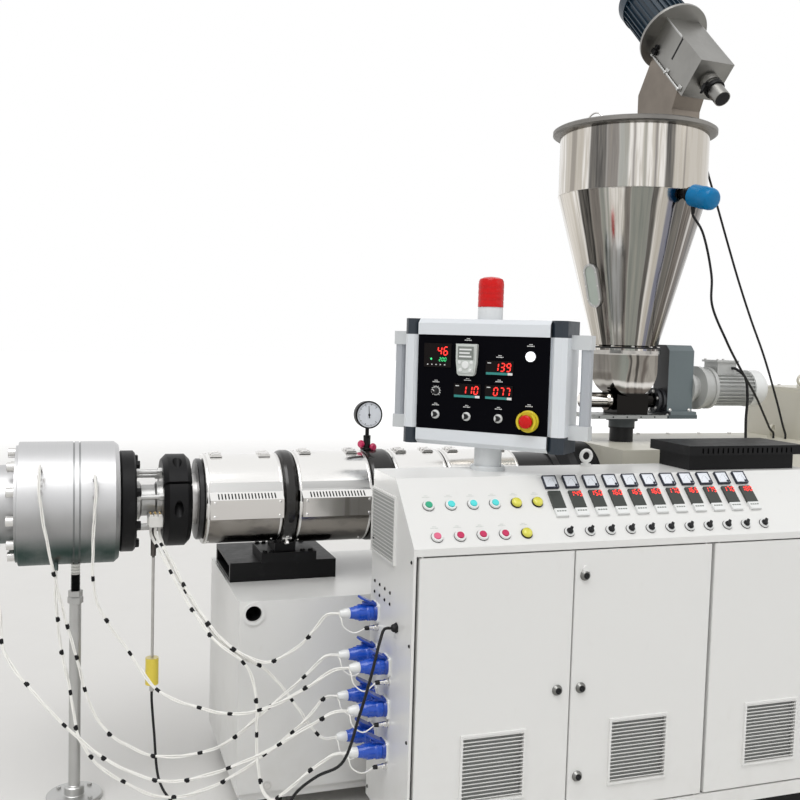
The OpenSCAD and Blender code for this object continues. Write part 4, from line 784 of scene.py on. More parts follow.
blackRoutes = {
    "transducer_cable": (9, [
        (249, 0, 342), (249, 0, 316), (256, -25, 210), (270, -75, 60), (300, -130, 16), (360, -230, 7),
        (450, -370, 7), (530, -480, 21), (578, -545, 90), (615, -605, 215), (668, -655, 285),
        (730, -690, 330), (775, -712, 480), (810, -715, 610), (835, -700, 690), (852, -688, 720),
        (873, -688, 720)]),
    "sensor_cable": (9, [
        (2107.1, -324, 2070.6), (2106, -318.3, 2049.3), (2138, -338, 1985), (2184, -343, 1826),
        (2190, -345, 1724), (2273, -330, 1592), (2400, -255, 1490), (2560, -150, 1385), (2700, -45, 1290),
        (2790, 20, 1225), (2828, 45, 1207), (2828, 45, 1185.3)]),
    "loader_cable": (9, [
        (2267.1, -68.4, 2718.6), (2291.1, -67.2, 2718.6), (2330, 35, 2530), (2385, 55, 2440),
        (2438, 60, 2290), (2498, 60, 2143), (2560, 60, 1990), (2623, 60, 1840), (2692, 60, 1690),
        (2770, 58, 1530), (2830, 40, 1350), (2858, 20, 1230), (2865, 15, 1205), (2865, 15, 1185.3)]),
    "feeder_cable": (11, [
        (2529, -44, 1483), (2529, -62, 1483), (2551, -96, 1453), (2563, -104, 1373), (2561, -104, 1283),
        (2561, -108, 1205), (2561, -108, 1185.3)]),
}
plugPlaces = {"cable_1": (-495, 715), "cable_2": (-495, 585), "cable_3": (-615, 585), "cable_4": (-495, 455),
              "cable_5": (-615, 455), "cable_6": (-495, 325), "cable_7": (-615, 325)}
cabinetEnd = 889


def plugForm(y, z):
    # blue plug with its white cable nut, standing on the cabinet's end
    at = facing((cabinetEnd - 17, y, z), (-1, 0, 0))
    body = Form(at).solid([(27, 0), (27.5, 3), (27.5, 15), (25, 18), (24, 24), (24.5, 40), (21.5, 50),
                           (21.5, 54), (19, 58), (17, 72)], 28)
    for k in range(10):
        body.box((22.5, -1.6, 22), (25.6, 1.6, 44), at @ turnDegrees(36 * k + 18, "Z"))
    body.box((20, -12, 4), (34, 12, 15)).box((24, -9, 13), (33, 9, 30))
    nut = Form(at).solid([(15, 70), (15.5, 74), (15.5, 88), (13, 92), (12, 100), (9, 104)], 16)
    return body, nut


def tieForm():
    size, half = leads["tie"], leads["tieLength"] / 2
    band = Form().turned([(size - 1.5, -half), (size, -half + 1), (size + 0.5, 0), (size, half - 1),
                          (size - 1.5, half)], 12, closed=True)
    return band.box((size - 1, -1.6, -5), (size + 3, 1.6, 5))


def makeLead(name, seed):
    y, z = plugPlaces[name]
    line = smoothLine(leadRoutes[name] + [(728, y, z), (768, y, z)], leads["step"])
    total, chance = lineLength(line), random.Random(seed)
    ties, place = [], leads["bare"].get(name, leads["start"]) + chance.random() * 30
    while place < total - leads["end"]:
        ties.append(place)
        place += leads["tieGap"] * (0.75 + 0.6 * chance.random())
    marks = [0.0] + ties + [total]
    runs = [0.0]
    for a, b in zip(line, line[1:]):
        runs.append(runs[-1] + (b - a).length)
    spreads = []
    for run in runs:
        near = min(max(k for k, m in enumerate(marks) if m <= run + 1e-6), len(marks) - 2)
        swell = math.sin(math.pi * (run - marks[near]) / max(1.0, marks[near + 1] - marks[near])) ** 2
        swell *= 0.35 + 0.65 * ((near * 37 + seed) % 5) / 4
        spreads.append(leads["laid"] + (leads["loose"] - leads["laid"]) * swell)
    form = Form()
    for strand in range(leads["strands"]):
        path = []
        for (point, across, over), run, spread in zip(carriedFrames(line), runs, spreads):
            a = 2 * math.pi * (strand / leads["strands"] + run / leads["twist"])
            path.append(point + (across * math.cos(a) + over * math.sin(a)) * spread)
        form.tube(path, leads["strand"], 8)
    made = piece(form, name + "Leads", "sleeveWhite", "white_sleeve", replaces=[name])
    places = []
    for a, b, run, reach in zip(line, line[1:], runs, runs[1:]):
        ahead = (b - a).normalized()
        places += [(a + ahead * (tie - run), ahead, ahead.orthogonal()) for tie in ties if run <= tie < reach]
    bands = scatter(name + "Ties", tieForm(), places, "tapeBlack", turnSpread=6.2, seed=seed)
    body, nut = plugForm(y, z)
    plug = piece(body, name + "Plug", "plugBlue", "blue_plastic", replaces=["power_plugs"], bevel=0.6)
    collar = piece(nut, name + "Nut", "plugWhite", "blue_plastic")
    return total


def makeBlackCable(name, diameter, route):
    line = smoothLine(route, leads["blackStep"])
    made = piece(Form().tube(line, diameter / 2), name + "Sheath", "blackRubber", "black_sleeve",
                 replaces=[name])


for index, cordName in enumerate(leadRoutes):
    print(cordName, "is", round(makeLead(cordName, index + 1)), "mm long")
for cordName, (thick, route) in blackRoutes.items():
    makeBlackCable(cordName, thick, route)
print("cords laid")


# Finishes of the solids that keep their own shape
dressing = {
    "paint": "base_frame cabinet console",
    "doorPaint": "door_left door_middle door_right",
    "dieSteel": "die_body die_outlet die_outlet_ring",
    "blackened": "adapter_flange clamp_ring rear_hood vent_box barrel_support",
    "plainSteel": "die_mandrel adapter_neck",
    "transducerBands": "transducer",
    "barrelSteel": "barrel",
    "lidMetal": "hopper_lid",
    "coverSheet": "heater_cover_1 heater_cover_2 heater_cover_3 heater_cover_4",
    "blackRing": "cooling_rings",
    "blackPaint": "feet_and_plinth",
    "beige": "gearbox throat_block",
    "motorPaint": "main_motor",
    "feederPlate": "feeder_plate",
    "slateGear": "feeder_gearbox",
    "downPipe": "downpipe",
    "bowlSheet": "feeder_trough",
    "silverPaint": "feeder_motor",
    "hopperSheet": "hopper",
    "castGrey": "loader_bracket",
    "chuteSheet": "loader_chute",
    "navy": "loader_motor",
    "frameGrey": "pendant_neck",
    "pendantShell": "pendant_housing",
    "handleGrey": "pendant_handles",
}
for finishName, names in dressing.items():
    dress(finishName, *names.split())
print("solids dressed")


# Floor and light
studio = {"skyLight": 0.47, "key": (1.85, -38, 30), "fill": (0.35, 50, 55), "spread": 45,
          "floor": (0.72, 0.71, 0.69)}


def whiteSurroundings():
    # a soft grey sky that cameras and mirrors see as white
    world = bpy.data.worlds.new("studio")
    bpy.context.scene.world = world
    world.use_nodes = True
    tree = world.node_tree
    tree.nodes.clear()
    kinds = ("LightPath", "OutputWorld", "MixShader", "Math", "Math", "Background", "Background")
    path, out, share, seen, ever, soft, white = (tree.nodes.new("ShaderNode" + kind) for kind in kinds)
    seen.operation = ever.operation = "MAXIMUM"
    for shade, strength in ((soft, studio["skyLight"]), (white, 1.0)):
        shade.inputs["Color"].default_value = (1, 1, 1, 1)
        shade.inputs["Strength"].default_value = strength
    for ray, node, slot in (("Camera", seen, 0), ("Glossy", seen, 1), ("Transmission", ever, 1)):
        tree.links.new(path.outputs["Is %s Ray" % ray], node.inputs[slot])
    for a, b, slot in ((seen, ever, 0), (ever, share, 0), (soft, share, 1), (white, share, 2),
                       (share, out, 0)):
        tree.links.new(a.outputs[0], b.inputs[slot])


def lightStudio():
    bpy.context.scene.view_settings.view_transform = "Standard"
    whiteSurroundings()
    for name in ("key", "fill"):
        strength, turn, tilt = studio[name]
        lamp = bpy.data.lights.new(name + "Lamp", "SUN")
        lamp.energy, lamp.angle = strength, math.radians(studio["spread"])
        made = bpy.data.objects.new(name + "Lamp", lamp)
        bpy.context.scene.collection.objects.link(made)
        made.rotation_euler = (math.radians(tilt), 0, math.radians(turn))
    look = Look("studioFloor", glow=1.0)
    far = look.fade(look.away((1.8, 0, 0)), 5.5, 15)
    near = look.mix(look.noise(2.5, 4) * 0.25, studio["floor"], tint(studio["floor"], 0.85))
    look.set("Emission Color", look.mix(far, (0.0, 0.0, 0.0), (1.0, 1.0, 1.0)))
    finishes["floor"] = look.done(look.mix(far, near, (0.0, 0.0, 0.0)), look.noise(9, 4) * 0.2 + 0.45)
    linked("floor", closeForm(Form().rod(60000, -4, -1, 96), "floor"), "floor")


lightStudio()
print("studio lit")


def across(name):
    return [Vector(corner) * 1000 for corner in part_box(name)]


# Die: bolts on its faces, stand with its insulator, terminal on the neck
dieBolts = {
    "dieFaceBolts": (socketHead(15.5, 23), (12, 170, -183, -1, -8.5), "boltSteel", "satin_steel"),
    "flangeBolts": (hexHead(15, 14, 17), (8, 142, 184, 1, 20), "blackened", "black_metal"),
    "outletRingBolts": (socketHead(11, 9), (8, 126, -318, -1, 0), "boltSteel", "satin_steel"),
    "neckNuts": (hexHead(13, 12), (6, 103, 184, 1, 75), "boltSteel", "bright_steel"),
}
for name, (head, circle, finish, slot) in dieBolts.items():
    scatter(name, head, boltCircle(*circle), finish)

low, high = across("die_stand")
at = move(((low.x + high.x) / 2, (low.y + high.y) / 2, 0))
pole = Form(at).solid([(88, 0), (90, 2), (90, 11), (87, 14), (34, 14), (32, 16), (32, 40), (28, 44), (21, 44),
                       (19, 46), (19, 664)], 40)
for k in range(4):
    pole.solid([(8, 13), (8, 20), (6.5, 21)], 6, at @ turnDegrees(45 + 90 * k, "Z") @ move((70, 0, 0)))
pole.solid([(25, 664), (25, 684), (23, 686)], 6).rod(23, 687, 706, 6)
piece(pole, "standPole", "plainSteel", "satin_steel", replaces=["die_stand"])
crests = [p for k in range(13) for p in ((15, 706.5 + 4 * k), (13, 708.5 + 4 * k))]
thread = Form(at).turned([(0, 706)] + crests + [(15, 760), (0, 760)], 20).rod(14, 796, 801, 20)
piece(thread, "standThread", "blackened", "black_metal")
ribs = [p for z in (763, 773, 783) for p in ((15.5, z), (13, z + 5))]
insulator = Form(at).turned([(0, 760), (14, 760)] + ribs + [(15.5, 793), (14, 796.5), (0, 796.5)], 24)
piece(insulator, "standInsulator", "ceramic", "white_sleeve")

terminal = Form().box((224, -113, 929), (270, -42, 963)).box((220, -108, 935), (274, -100, 957))
for k in range(3):
    terminal.box((226 + 15 * k, -113, 962), (238 + 15 * k, -52, 969))
piece(terminal, "neckTerminal", "ceramic", "bright_steel", bevel=1.5)
screws = [((232 + 15 * k, -92 + 24 * j, 969), (0, 0, 1), (1, 0.4 * j, 0)) for k in range(3) for j in range(2)]
scatter("terminalScrews", panHead(4.2, 3), screws, "brass", turnSpread=3)
print("die dressed")


# Barrel: toggle clips, screws and beads on the covers, latches and bolts on the rings
covers = {"clipInset": (44, 50), "clipAngle": 84, "screwInset": 22, "screwAngles": (100, 240, 300),
          "ductScrews": (969, 1015), "beadInset": 8, "latches": (672, 1010), "ringBolts": (688, 1045)}


def clipHead():
    form = Form().box((-30, -20, -1), (6, 20, 3)).box((8, -21, -1), (34, 21, 2.5))
    form.box((-26, -9, 3), (-2, 9, 9)).box((-30, -17, 3), (-22, 17, 8))
    form.rod(4, -19, 19, 12, turnDegrees(90, "X") @ move((-4, 6, 0)))
    for side in (-1, 1):
        form.tube([(-4, 13 * side, 6), (6, 13 * side, 7.5), (18, 11 * side, 7), (22, 7 * side, 6)], 2, 8)
    return form.rod(4, -15, 15, 12, turnDegrees(90, "X") @ move((21, 5, 0)))


clips, screws, beads = [], [], Form()
for k in range(4):
    low, high = across("heater_cover_%d" % (k + 1))
    rim = high.z - axisHeight
    for x in (low.x + covers["clipInset"][0], high.x - covers["clipInset"][1]):
        place, way = roundAxis(x, rim, covers["clipAngle"])
        clips.append((place, way, (0, way[2], -way[1])))
    for x in (low.x + covers["screwInset"], high.x - covers["screwInset"]):
        screws += placed([(x, -186, z) for z in covers["ductScrews"]], (0, -1, 0))
        screws += [(*roundAxis(x - 6, rim, degrees), (1, 0, 0)) for degrees in covers["screwAngles"]]
    for x in (low.x + covers["beadInset"], high.x - covers["beadInset"]):
        beads.turned([(rim - 1, -3.5), (rim + 0.7, -3.5), (rim + 1.4, -2), (rim + 1.4, 2), (rim + 0.7, 3.5),
                      (rim - 1, 3.5)], 96, facing((x, 0, axisHeight), (1, 0, 0)), True)
scatter("coverClips", clipHead(), clips, "coverTrim")
scatter("coverScrews", panHead(5, 2.6), screws, "coverTrim", turnSpread=3)
piece(beads, "coverBeads", "coverTrim", "polished_steel")
latch = Form()
for x in covers["latches"]:
    at = facing(*roundAxis(x + 12, 164, -52), (1, 0, 0))
    latch.box((-16, -13, -2), (16, 13, 7), at).box((-5, -24, 0), (5, 24, 5), at)
    latch.rod(4.5, 5, 14, 12, at).solid([(9, 12), (9, 20), (7, 21)], 6, at)
piece(latch, "ringLatches", "coverTrim", "bright_steel", bevel=0.8)
bolts = [((x, 159 * way[1], axisHeight + 162 * way[2]), way, (1, 0, 0))
         for x in covers["ringBolts"] for way in (outFrom(-20), outFrom(200))]
scatter("ringBolts", hexHead(9, 7, 11), bolts, "blackened")
print("barrel dressed")


# Pressure gauge
gauge = {"place": (995, 0, 1290), "ticks": 41, "sweep": 270}
at, stem = facing(gauge["place"], (0, -1, 0), (1, 0, 0)), move((gauge["place"][0], 0, 0))
case = Form(at).solid([(46, -18), (48, -16), (48, 6), (50, 8), (50, 20), (49, 22), (45, 22), (44.5, 19.5)],
                      64)
case.rod(7, 1160, 1246, 16, stem).solid([(14, 1205), (14, 1213), (12, 1215)], 6, stem)
case.solid([(13.5, 1160), (13.5, 1204), (12, 1206)], 8, stem)
case.solid([(24, 1163.5), (24, 1168), (22, 1170)], 24, stem)
piece(case, "gaugeCase", "blackPaint", "gauge", replaces=["pressure_gauge"])
piece(Form(at).rod(44.6, 19, 20.2, 64), "gaugeDial", "dialWhite", "gauge")
marks = Form(at)
for k in range(gauge["ticks"]):
    long = 8 if k % 10 == 0 else (6 if k % 5 == 0 else 3.5)
    half = 0.5 if k % 5 else 0.8
    turn = turnDegrees(-45 + gauge["sweep"] * k / (gauge["ticks"] - 1), "Z")
    marks.box((-half, 41 - long, 20), (half, 41, 20.7), at @ turn)
needle = [(-2.2, -12), (2.2, -12), (1.4, 0), (0.6, 33), (-0.6, 33), (-1.4, 0)]
marks.prism(needle, 21, 22, at @ turnDegrees(4, "Z")).turned([(0, 20), (4, 20), (4, 23), (0, 24)], 20)
piece(marks, "gaugeMarks", "blackPlastic", "gauge")
valve = Form()
for x, z, way in ((-17, 1183, (-1, -0.5, 0.1)), (15, 1172, (0.5, -1, 0.1))):
    valve.turned([(0, -8), (5, -8), (5, 0), (11, 2), (14.5, 7), (14.5, 11), (11, 16), (0, 17)], 24,
                 facing((gauge["place"][0] + x, -6, z), way))
piece(valve, "gaugeKnobs", "capRed", "gauge")
print("gauge dressed")


# Console: buttons, meters, controllers and switches on the slope
console = {"front": -814, "lip": 984, "slope": 45, "pitch": 70.6, "first": 966, "meters": 1385, "lift": 0.35,
           "count": 11}
buttonRows = [(140, ["capGreen", "capCyan", "capCyan", "capCyan", "capYellow", "capYellow"]),
              (32, ["capPink", "capRed", "capRed", "capRed", "capYellow"])]
readings = ["145", "150", "160", "165", "160", "170", "165", "175", "170", "180"]
segments = {"a": (0, 1, 1, 1), "b": (1, 0.5, 1, 1), "c": (1, 0, 1, 0.5), "d": (0, 0, 1, 0),
            "e": (0, 0, 0, 0.5), "f": (0, 0.5, 0, 1), "g": (0, 0.5, 1, 0.5)}
figureParts = dict(zip("0123456789", "abcdef bc abged abgcd fgbc afgcd afgedc abc abcdefg abcdfg".split()))


def onSlope(x, s):
    a = math.radians(console["slope"])
    foot = move((x, console["front"] + s * math.cos(a), console["lip"] + s * math.sin(a)))
    return foot @ turnDegrees(console["slope"], "X") @ move((0, 0, console["lift"]))


def figures(form, text, at, height, stroke=0.14):
    # slanted seven-part figures, read from the frame's X to the right and Y up
    wide, thick = height * 0.5, height * stroke / 2
    lean = Matrix(((1, 0.12, 0, 0), (0, 1, 0, 0), (0, 0, 1, 0), (0, 0, 0, 1)))
    for k, letter in enumerate(text):
        for part in figureParts[letter]:
            x0, y0, x1, y1 = (v * (wide if i % 2 == 0 else height) for i, v in enumerate(segments[part]))
            inset = thick if x0 != x1 else -thick
            form.box((x0 + inset, y0 - inset, 0), (x1 - inset, y1 + inset, 0.5),
                     at @ lean @ move((k * height * 0.84, 0, 0)))


def caption(form, at, low, high, rows):
    # rows of plain dashes in place of words
    for start, row, count, wide in rows:
        for k in range(count):
            left = start + 4.2 * k
            form.box((left, row, low), (left + wide - 0.5 * (k % 3), row + 2.6, high), at)


bezels, rims, captions, caps = Form(), Form(), Form(), {}
for s, tones in buttonRows:
    for k, tone in enumerate(tones):
        x = console["first"] + k * console["pitch"]
        caption(captions, onSlope(x, s + 32), -0.2, 0.2, ((-5, 3, 3, 3), (-12, -2, 6, 3)))
        at = onSlope(x, s)
        rims.rod(18.2, 0, 1.4, 28, at)
        cap = caps.setdefault(tone, Form())
        if tone == "capYellow":
            rims.rod(16.6, 1, 4, 28, at)
            cap.turned([(0, 3.6), (15.8, 3.6), (15.8, 8), (13.5, 11.5), (8.5, 13.6), (0, 14.4)], 28, at)
        else:
            bezels.solid([(17, 1.2), (17.2, 5), (15.6, 7.5), (11.6, 7.9), (11.2, 6.8)], 28, at)
            cap.turned([(0, 6.5), (10.8, 6.5), (10.8, 9.6), (9.8, 11), (0, 11.6)], 24, at)
piece(captions, "buttonCaptions", "keyGrey", "control_plastic")
piece(rims, "buttonRims", "blackPlastic", "control_plastic", replaces=["console_controls"])
piece(bezels, "buttonBezels", "plugWhite", "control_plastic")
for tone, cap in caps.items():
    piece(cap, "buttons" + tone[3:], tone, "control_plastic")

cases, faces, marks, windows, strips, keys, lit, rings, levers = (Form() for _ in range(9))
frameSides = [(-23, -23, 23, -20), (-23, 20.8, 23, 23), (-23, -21, -20.8, 21), (20.8, -21, 23, 21)]
for k in range(console["count"]):
    x = console["meters"] + k * console["pitch"]
    at = onSlope(x, 211)
    pivot = at @ move((15, -14, 0))
    cases.slab(23, 23, 0, 6, at)
    for left, bottom, right, top in frameSides:
        cases.box((left, bottom, 5.5), (right, top, 10), at)
    faces.box((-21, -20.2, 5.5), (21, 21, 7), at)
    cases.rod(4.2, 6.5, 9.2, 16, pivot)
    for j in range(9):
        turn = turnDegrees(10 + 70 * j / 8, "Z")
        marks.box((-0.25, 26, 6.9), (0.25, 28.5 if j % 2 == 0 else 27.5, 7.2), pivot @ turn)
    marks.box((-0.3, 5, 6.9), (0.3, 23, 7.3), pivot @ turnDegrees(12 + 5 * (k % 3), "Z"))
    at = onSlope(x, 130)
    windows.prism([(-21, -18), (21, -18), (21, 46), (-21, 46)], 0, 8.5, at)
    strips.box((-21, -46, 0), (21, -18.4, 8.2), at).box((-19.5, -44.5, 8), (19.5, -20, 9), at)
    for j in range(4):
        keys.box((-16 + j * 8.4, -31, 8.8), (-10 + j * 8.4, -27, 9.7), at)
    if k:
        figures(lit, readings[k - 1], at @ move((-18.5, 24.5, 8.45)), 17.5, 0.17)
    at = onSlope(x + 3, 30)
    levers.rod(16.5, 0, 2, 28, at)
    rings.solid([(15.2, 1.6), (15.2, 5), (13.8, 6.8)], 28, at)
    levers.solid([(10.2, 6.5), (10.2, 10), (9.4, 11)], 24, at)
    levers.prism([(-4.6, -11), (4.6, -11), (5.2, 0), (4.2, 12), (-4.2, 12), (-5.2, 0)], 10.5, 18,
                 at @ turnDegrees(-38, "Z"))
for form, name, finish, bevel in (
        (cases, "meterCases", "caseNavy", 0.5), (faces, "meterFaces", "dialWhite", 0),
        (marks, "meterMarks", "blackPlastic", 0), (windows, "controllerWindows", "darkGlass", 0.6),
        (strips, "controllerStrips", "plugWhite", 0.6), (keys, "controllerKeys", "keyDark", 0),
        (lit, "controllerFigures", "ledRed", 0), (rings, "switchRings", "plugWhite", 0),
        (levers, "switchLevers", "blackPlastic", 0.6)):
    piece(form, name, finish, "control_plastic", bevel=bevel)
print("console dressed")


# Cabinet: locks on the doors and grey sheets behind the louvres as painted shade in their gaps; the base's
# lifting hole gets a black tube inside it as painted shade
cabinet = {"front": -817, "screenHalf": 97, "screenDepth": (-806, -801), "screenHeight": (229, 423),
           "hole": (535, 0, 680), "holeRadii": (24, 25.7), "holeHalf": 310}
doors = {"door_left": (1152, [(1355, 536)]), "door_middle": (1642.5, [(1434, 263), (1434, 536), (1434, 879)]),
         "door_right": (2140, [(2343, 536)])}
(near, far), (bottom, top), half = (cabinet[key] for key in ("screenDepth", "screenHeight", "screenHalf"))
for body, (louvre, places) in doors.items():
    rim, core = Form(), Form()
    for x, z in places:
        at = facing((x, cabinet["front"], z), (0, -1, 0), (1, 0, 0))
        rim.solid([(16.5, 0), (16.5, 2), (14.5, 4), (13, 9), (11.4, 10.4)], 28, at)
        core.rod(9.4, 10, 11, 20, at).box((-1.6, -7.5, 10.6), (1.6, 7.5, 12), at @ turnDegrees(35, "Z"))
    piece(rim, body + "LockRims", "lockMetal", "bright_steel", body)
    piece(core, body + "LockCores", "blackPlastic", "bright_steel", body)
    # grey sheet behind the louvre: painted shade in the gaps between its slats
    back = Form().box((louvre - half, near, bottom), (louvre + half, far, top))
    piece(back, body + "LouvreScreen", "shade", "black_metal", body)
# grey sheet behind the end louvre: painted shade in its gaps
louvreShadeBacking = Form().box((888.6, -652, 903), (890.5, -436, 1096))
piece(louvreShadeBacking, "endLouvreScreen", "shade", "black_metal")
# black tube through the lifting hole: painted shade inside it
holeShade = Form(facing(cabinet["hole"], (0, -1, 0), (1, 0, 0)))
holeShade.ring(*cabinet["holeRadii"], -cabinet["holeHalf"], cabinet["holeHalf"], 40)
piece(holeShade, "holeLining", "blackRubber", "black_metal")
print("cabinet dressed")


# Sockets on the cabinet's end with lids, small connectors and their looped leads
plates, rings, lids, shells, boots, loops = (Form() for _ in range(6))
lidShape = [(30 + 24 * math.sin(math.pi * k / 12), -24 * math.cos(math.pi * k / 12)) for k in range(1, 12)]
lidShape = [(-4, -20), (30, -24)] + lidShape + [(30, 24), (-4, 20)]
plateShape = [(-30, -24), (-24, -30), (24, -30), (30, -24), (30, 24), (24, 30), (-24, 30), (-30, 24)]
for index, (y, z) in enumerate(plugPlaces.values()):
    at = facing((cabinetEnd, y, z), (-1, 0, 0))
    plates.prism(plateShape, 0, 6, at)
    rings.solid([(29, 5.5), (29, 9), (27.5, 11), (27.5, 16.6)], 32, at)
    lids.prism(lidShape, -3, 3.5, at @ move((27, 0, 14)) @ turnDegrees(-62, "Y"))
    lids.rod(4, -14, 14, 12, at @ move((29, 0, 11)) @ turnDegrees(90, "X"))
    side = facing((cabinetEnd, y - 16, z - 46), (-1, 0, 0))
    shells.solid([(12, 0), (12, 3), (9, 4), (9, 15), (7, 17), (7, 30)], 16, side)
    shells.rod(10.5, 3.5, 9, 6, side)
    boots.solid([(7, 29.5), (6.6, 40), (4.4, 44)], 16, side)
    dip = 12 + 5 * (index % 3)
    route = [(42, -16, -46), (54, -20, -47 - dip * 0.3), (80, -24, -44 - dip), (112, -20, -30 - dip * 0.5),
             (118, -14, -14), (119, -4, -8), (121, 0, -5)]
    loops.tube(smoothLine([(cabinetEnd - a, y + b, z + c) for a, b, c in route], 8), 2, 8)
at = facing((cabinetEnd, -688, 720), (-1, 0, 0))
boots.rod(16, 0, 5, 6, at).solid([(12, 4.5), (12, 11), (9, 15.5)], 20, at)
piece(plates, "socketPlates", "plugWhite", "socket_plastic", replaces=["sockets"], bevel=0.8)
piece(rings, "socketRings", "lidBlue", "socket_plastic")
piece(lids, "socketLids", "lidBlue", "socket_plastic", bevel=1.2)
piece(shells, "connectorShells", "coverTrim", "socket_plastic")
piece(boots, "connectorBoots", "blackRubber", "socket_plastic")
piece(loops, "connectorLeads", "sleeveWhite", "white_sleeve")
screws = [(cabinetEnd, y, z) for y in (-470, -520, -570, -620) for z in (772, 806)]
screws += [(cabinetEnd, y, z) for y in (-446, -800) for z in (130, 420, 700, 940)]
scatter("endScrews", panHead(5.5, 3), placed(screws, (-1, 0, 0), (0, 0.7, 0.7)), "blackened",
        turnSpread=0.8)
screws = [(cabinetEnd - 6, y + a, z + b)
          for y, z in plugPlaces.values() for a in (-22, 22) for b in (-22, 22)]
scatter("socketScrews", panHead(3.4, 2), placed(screws, (-1, 0, 0), (0, 1, 0)), "coverTrim",
        turnSpread=3)
print("sockets dressed")


# Pendant: film panel, displays, keypad, switches, lamp, stop button and beacon
pendant = {"place": (1252, -490, 0), "yaw": 47, "low": 1281, "front": -77, "half": 223, "tall": 302,
           "beacon": (-8, 0, 1634), "neckRadius": 51, "neckTop": 1165, "neckAngles": (30, 120, 210, 300)}
pendantFrame = move(pendant["place"]) @ turnDegrees(-pendant["yaw"], "Z")
panelCaptions = [(-47, 289), (62, 239), (-45, 163), (62, 163), (162, 276), (-155, 153), (-154, 79), (-45, 78),
                 (63, 78), (163, 92)]


def onPanel(u, v):
    return pendantFrame @ move((u, pendant["front"], pendant["low"] + v)) @ turnDegrees(90, "X")


def onPendant(form, name, finish, slot="panel_film", **more):
    piece(form, name, finish, slot, "pendant", **more)


half, tall = pendant["half"], pendant["tall"]
film = Form(onPanel(0, 0)).box((-half + 0.3, 0.3, -5), (half - 0.3, tall - 0.3, 0.2))
onPendant(film, "panelFilm", "filmBlack", replaces=["pendant_panel"])
panes, bright, green, strips, tags = (Form() for _ in range(5))
at = onPanel(-152, 236)
panes.slab(48, 38, 0, 3, at)
figures(bright, "46", at @ move((0, 2, 2.95)), 25)
figures(green, "200", at @ move((6, -18, 2.95)), 11)
green.turned([(0, 2.9), (3.5, 2.9), (2.5, 4.2), (0, 4.6)], 14, at @ move((-22, -12, 0)))
for k in range(5):
    tags.box((-36 + 15 * k, -31, 2.9), (-32 + 15 * k, -28, 3.3), at)
for u, v, text in ((62, 203, "139"), (-45, 127, "110"), (62, 127, "077")):
    at = onPanel(u, v)
    panes.slab(46, 22, 0, 4, at)
    figures(bright, text, at @ move((-17, -9, 3.95)), 24)
    strips.box((-44, -21, 3.8), (28, -13.5, 4.4), at)
    tags.box((28.5, -21, 3.8), (44, -13.5, 4.7), at).box((-40, 14, 3.8), (-28, 16.5, 4.4), at)
onPendant(panes, "panelWindows", "windowBlack", bevel=0.6)
onPendant(bright, "panelFigures", "ledRed")
onPendant(green, "panelGreenFigures", "ledGreen")
onPendant(strips, "panelStrips", "teal")

at = onPanel(-47, 225)
pad, screen, buttons = Form(at), Form(at), Form(at)
pad.prism([(-36, 50), (-35, -6), (-30, -44), (-24, -50), (24, -50), (30, -44), (35, -6), (36, 50)], 0, 15)
pad.prism([(-30, 46), (-27, -42), (27, -42), (30, 46)], 14.5, 18)
screen.box((-27, 0, 17.5), (27, 42, 18.7))
for k in range(3):
    tags.box((-22, 8 + 11 * k, 18.6), (20 - 6 * (k % 2), 13 + 11 * k, 19), at)
buttons.solid([(12, 17.5), (12, 20), (10.5, 21.2)], 28, at @ move((0, -16, 0)))
for u, v in ((-20, -8), (20, -8), (-17, -32), (17, -32)):
    buttons.solid([(5.5, 17.5), (5.5, 20), (4.5, 20.8)], 18, at @ move((u, v, 0)))
onPendant(pad, "keypadCase", "keyGrey", bevel=1.2)
onPendant(screen, "keypadScreen", "keyDark")
onPendant(buttons, "keypadKeys", "plugWhite")

rings, levers = Form(), Form()
for u, v in ((-154, 47), (-45, 46), (63, 46)):
    at = onPanel(u, v)
    rings.solid([(14, 0), (14, 4), (12.6, 6)], 28, at)
    levers.prism([(-6, -9.5), (4.5, -7), (10.5, 0), (4.5, 7), (-6, 9.5), (-3.2, 0)], 5.5, 13, at)
at = onPanel(-155, 122)
levers.solid([(11.5, 0), (10.5, 12), (9, 13.5)], 28, at)
for k in range(11):
    tags.box((-0.9, 13.8, 0.1), (0.9, 17.5, 0.7), at @ turnDegrees(-135 + 27 * k, "Z"))
tags.ring(12, 14, 0.1, 0.8, 32, at).box((-1.1, 0, 13.3), (1.1, 9.5, 13.9), at @ turnDegrees(50, "Z"))
for u, v in panelCaptions:
    caption(tags, onPanel(u, v), 0.1, 0.5, ((-5.6, 1.6, 3, 3), (-12.5, -3.4, 6, 3.4)))
onPendant(tags, "panelTags", "plugWhite")
onPendant(rings, "panelSwitchRings", "plugWhite", "control_plastic")
onPendant(levers, "panelSwitchLevers", "blackPlastic", "control_plastic", bevel=0.5)
at = onPanel(163, 242)
onPendant(Form(at).turned([(0, 2), (15.5, 2), (15.5, 7), (12, 9.5), (0, 10.4)], 32), "panelLamp", "lampWhite")
onPendant(Form(at).rod(18, 0, 2.5), "panelLampRing", "blackPlastic")
at = onPanel(163, 44)
guard = Form(at).solid([(33, 0), (34, 2), (34, 9), (31, 12)], 40)
sweep = [math.radians(k) for k in range(-52, 53, 8)]
cheek = [(32 * math.cos(a), 32 * math.sin(a)) for a in sweep]
cheek += [(24.5 * math.cos(a), 24.5 * math.sin(a)) for a in sweep[::-1]]
for turn in (0, 180):
    guard.prism(cheek, 11.5, 27, at @ turnDegrees(turn, "Z"))
onPendant(guard, "stopGuard", "yellow", "control_plastic", bevel=0.8)
knob = Form(at).turned([(0, 11), (13, 11), (13, 21), (20, 23), (21, 27), (20, 32), (16.5, 35), (0, 36)], 40)
onPendant(knob, "stopKnob", "red", "control_plastic")

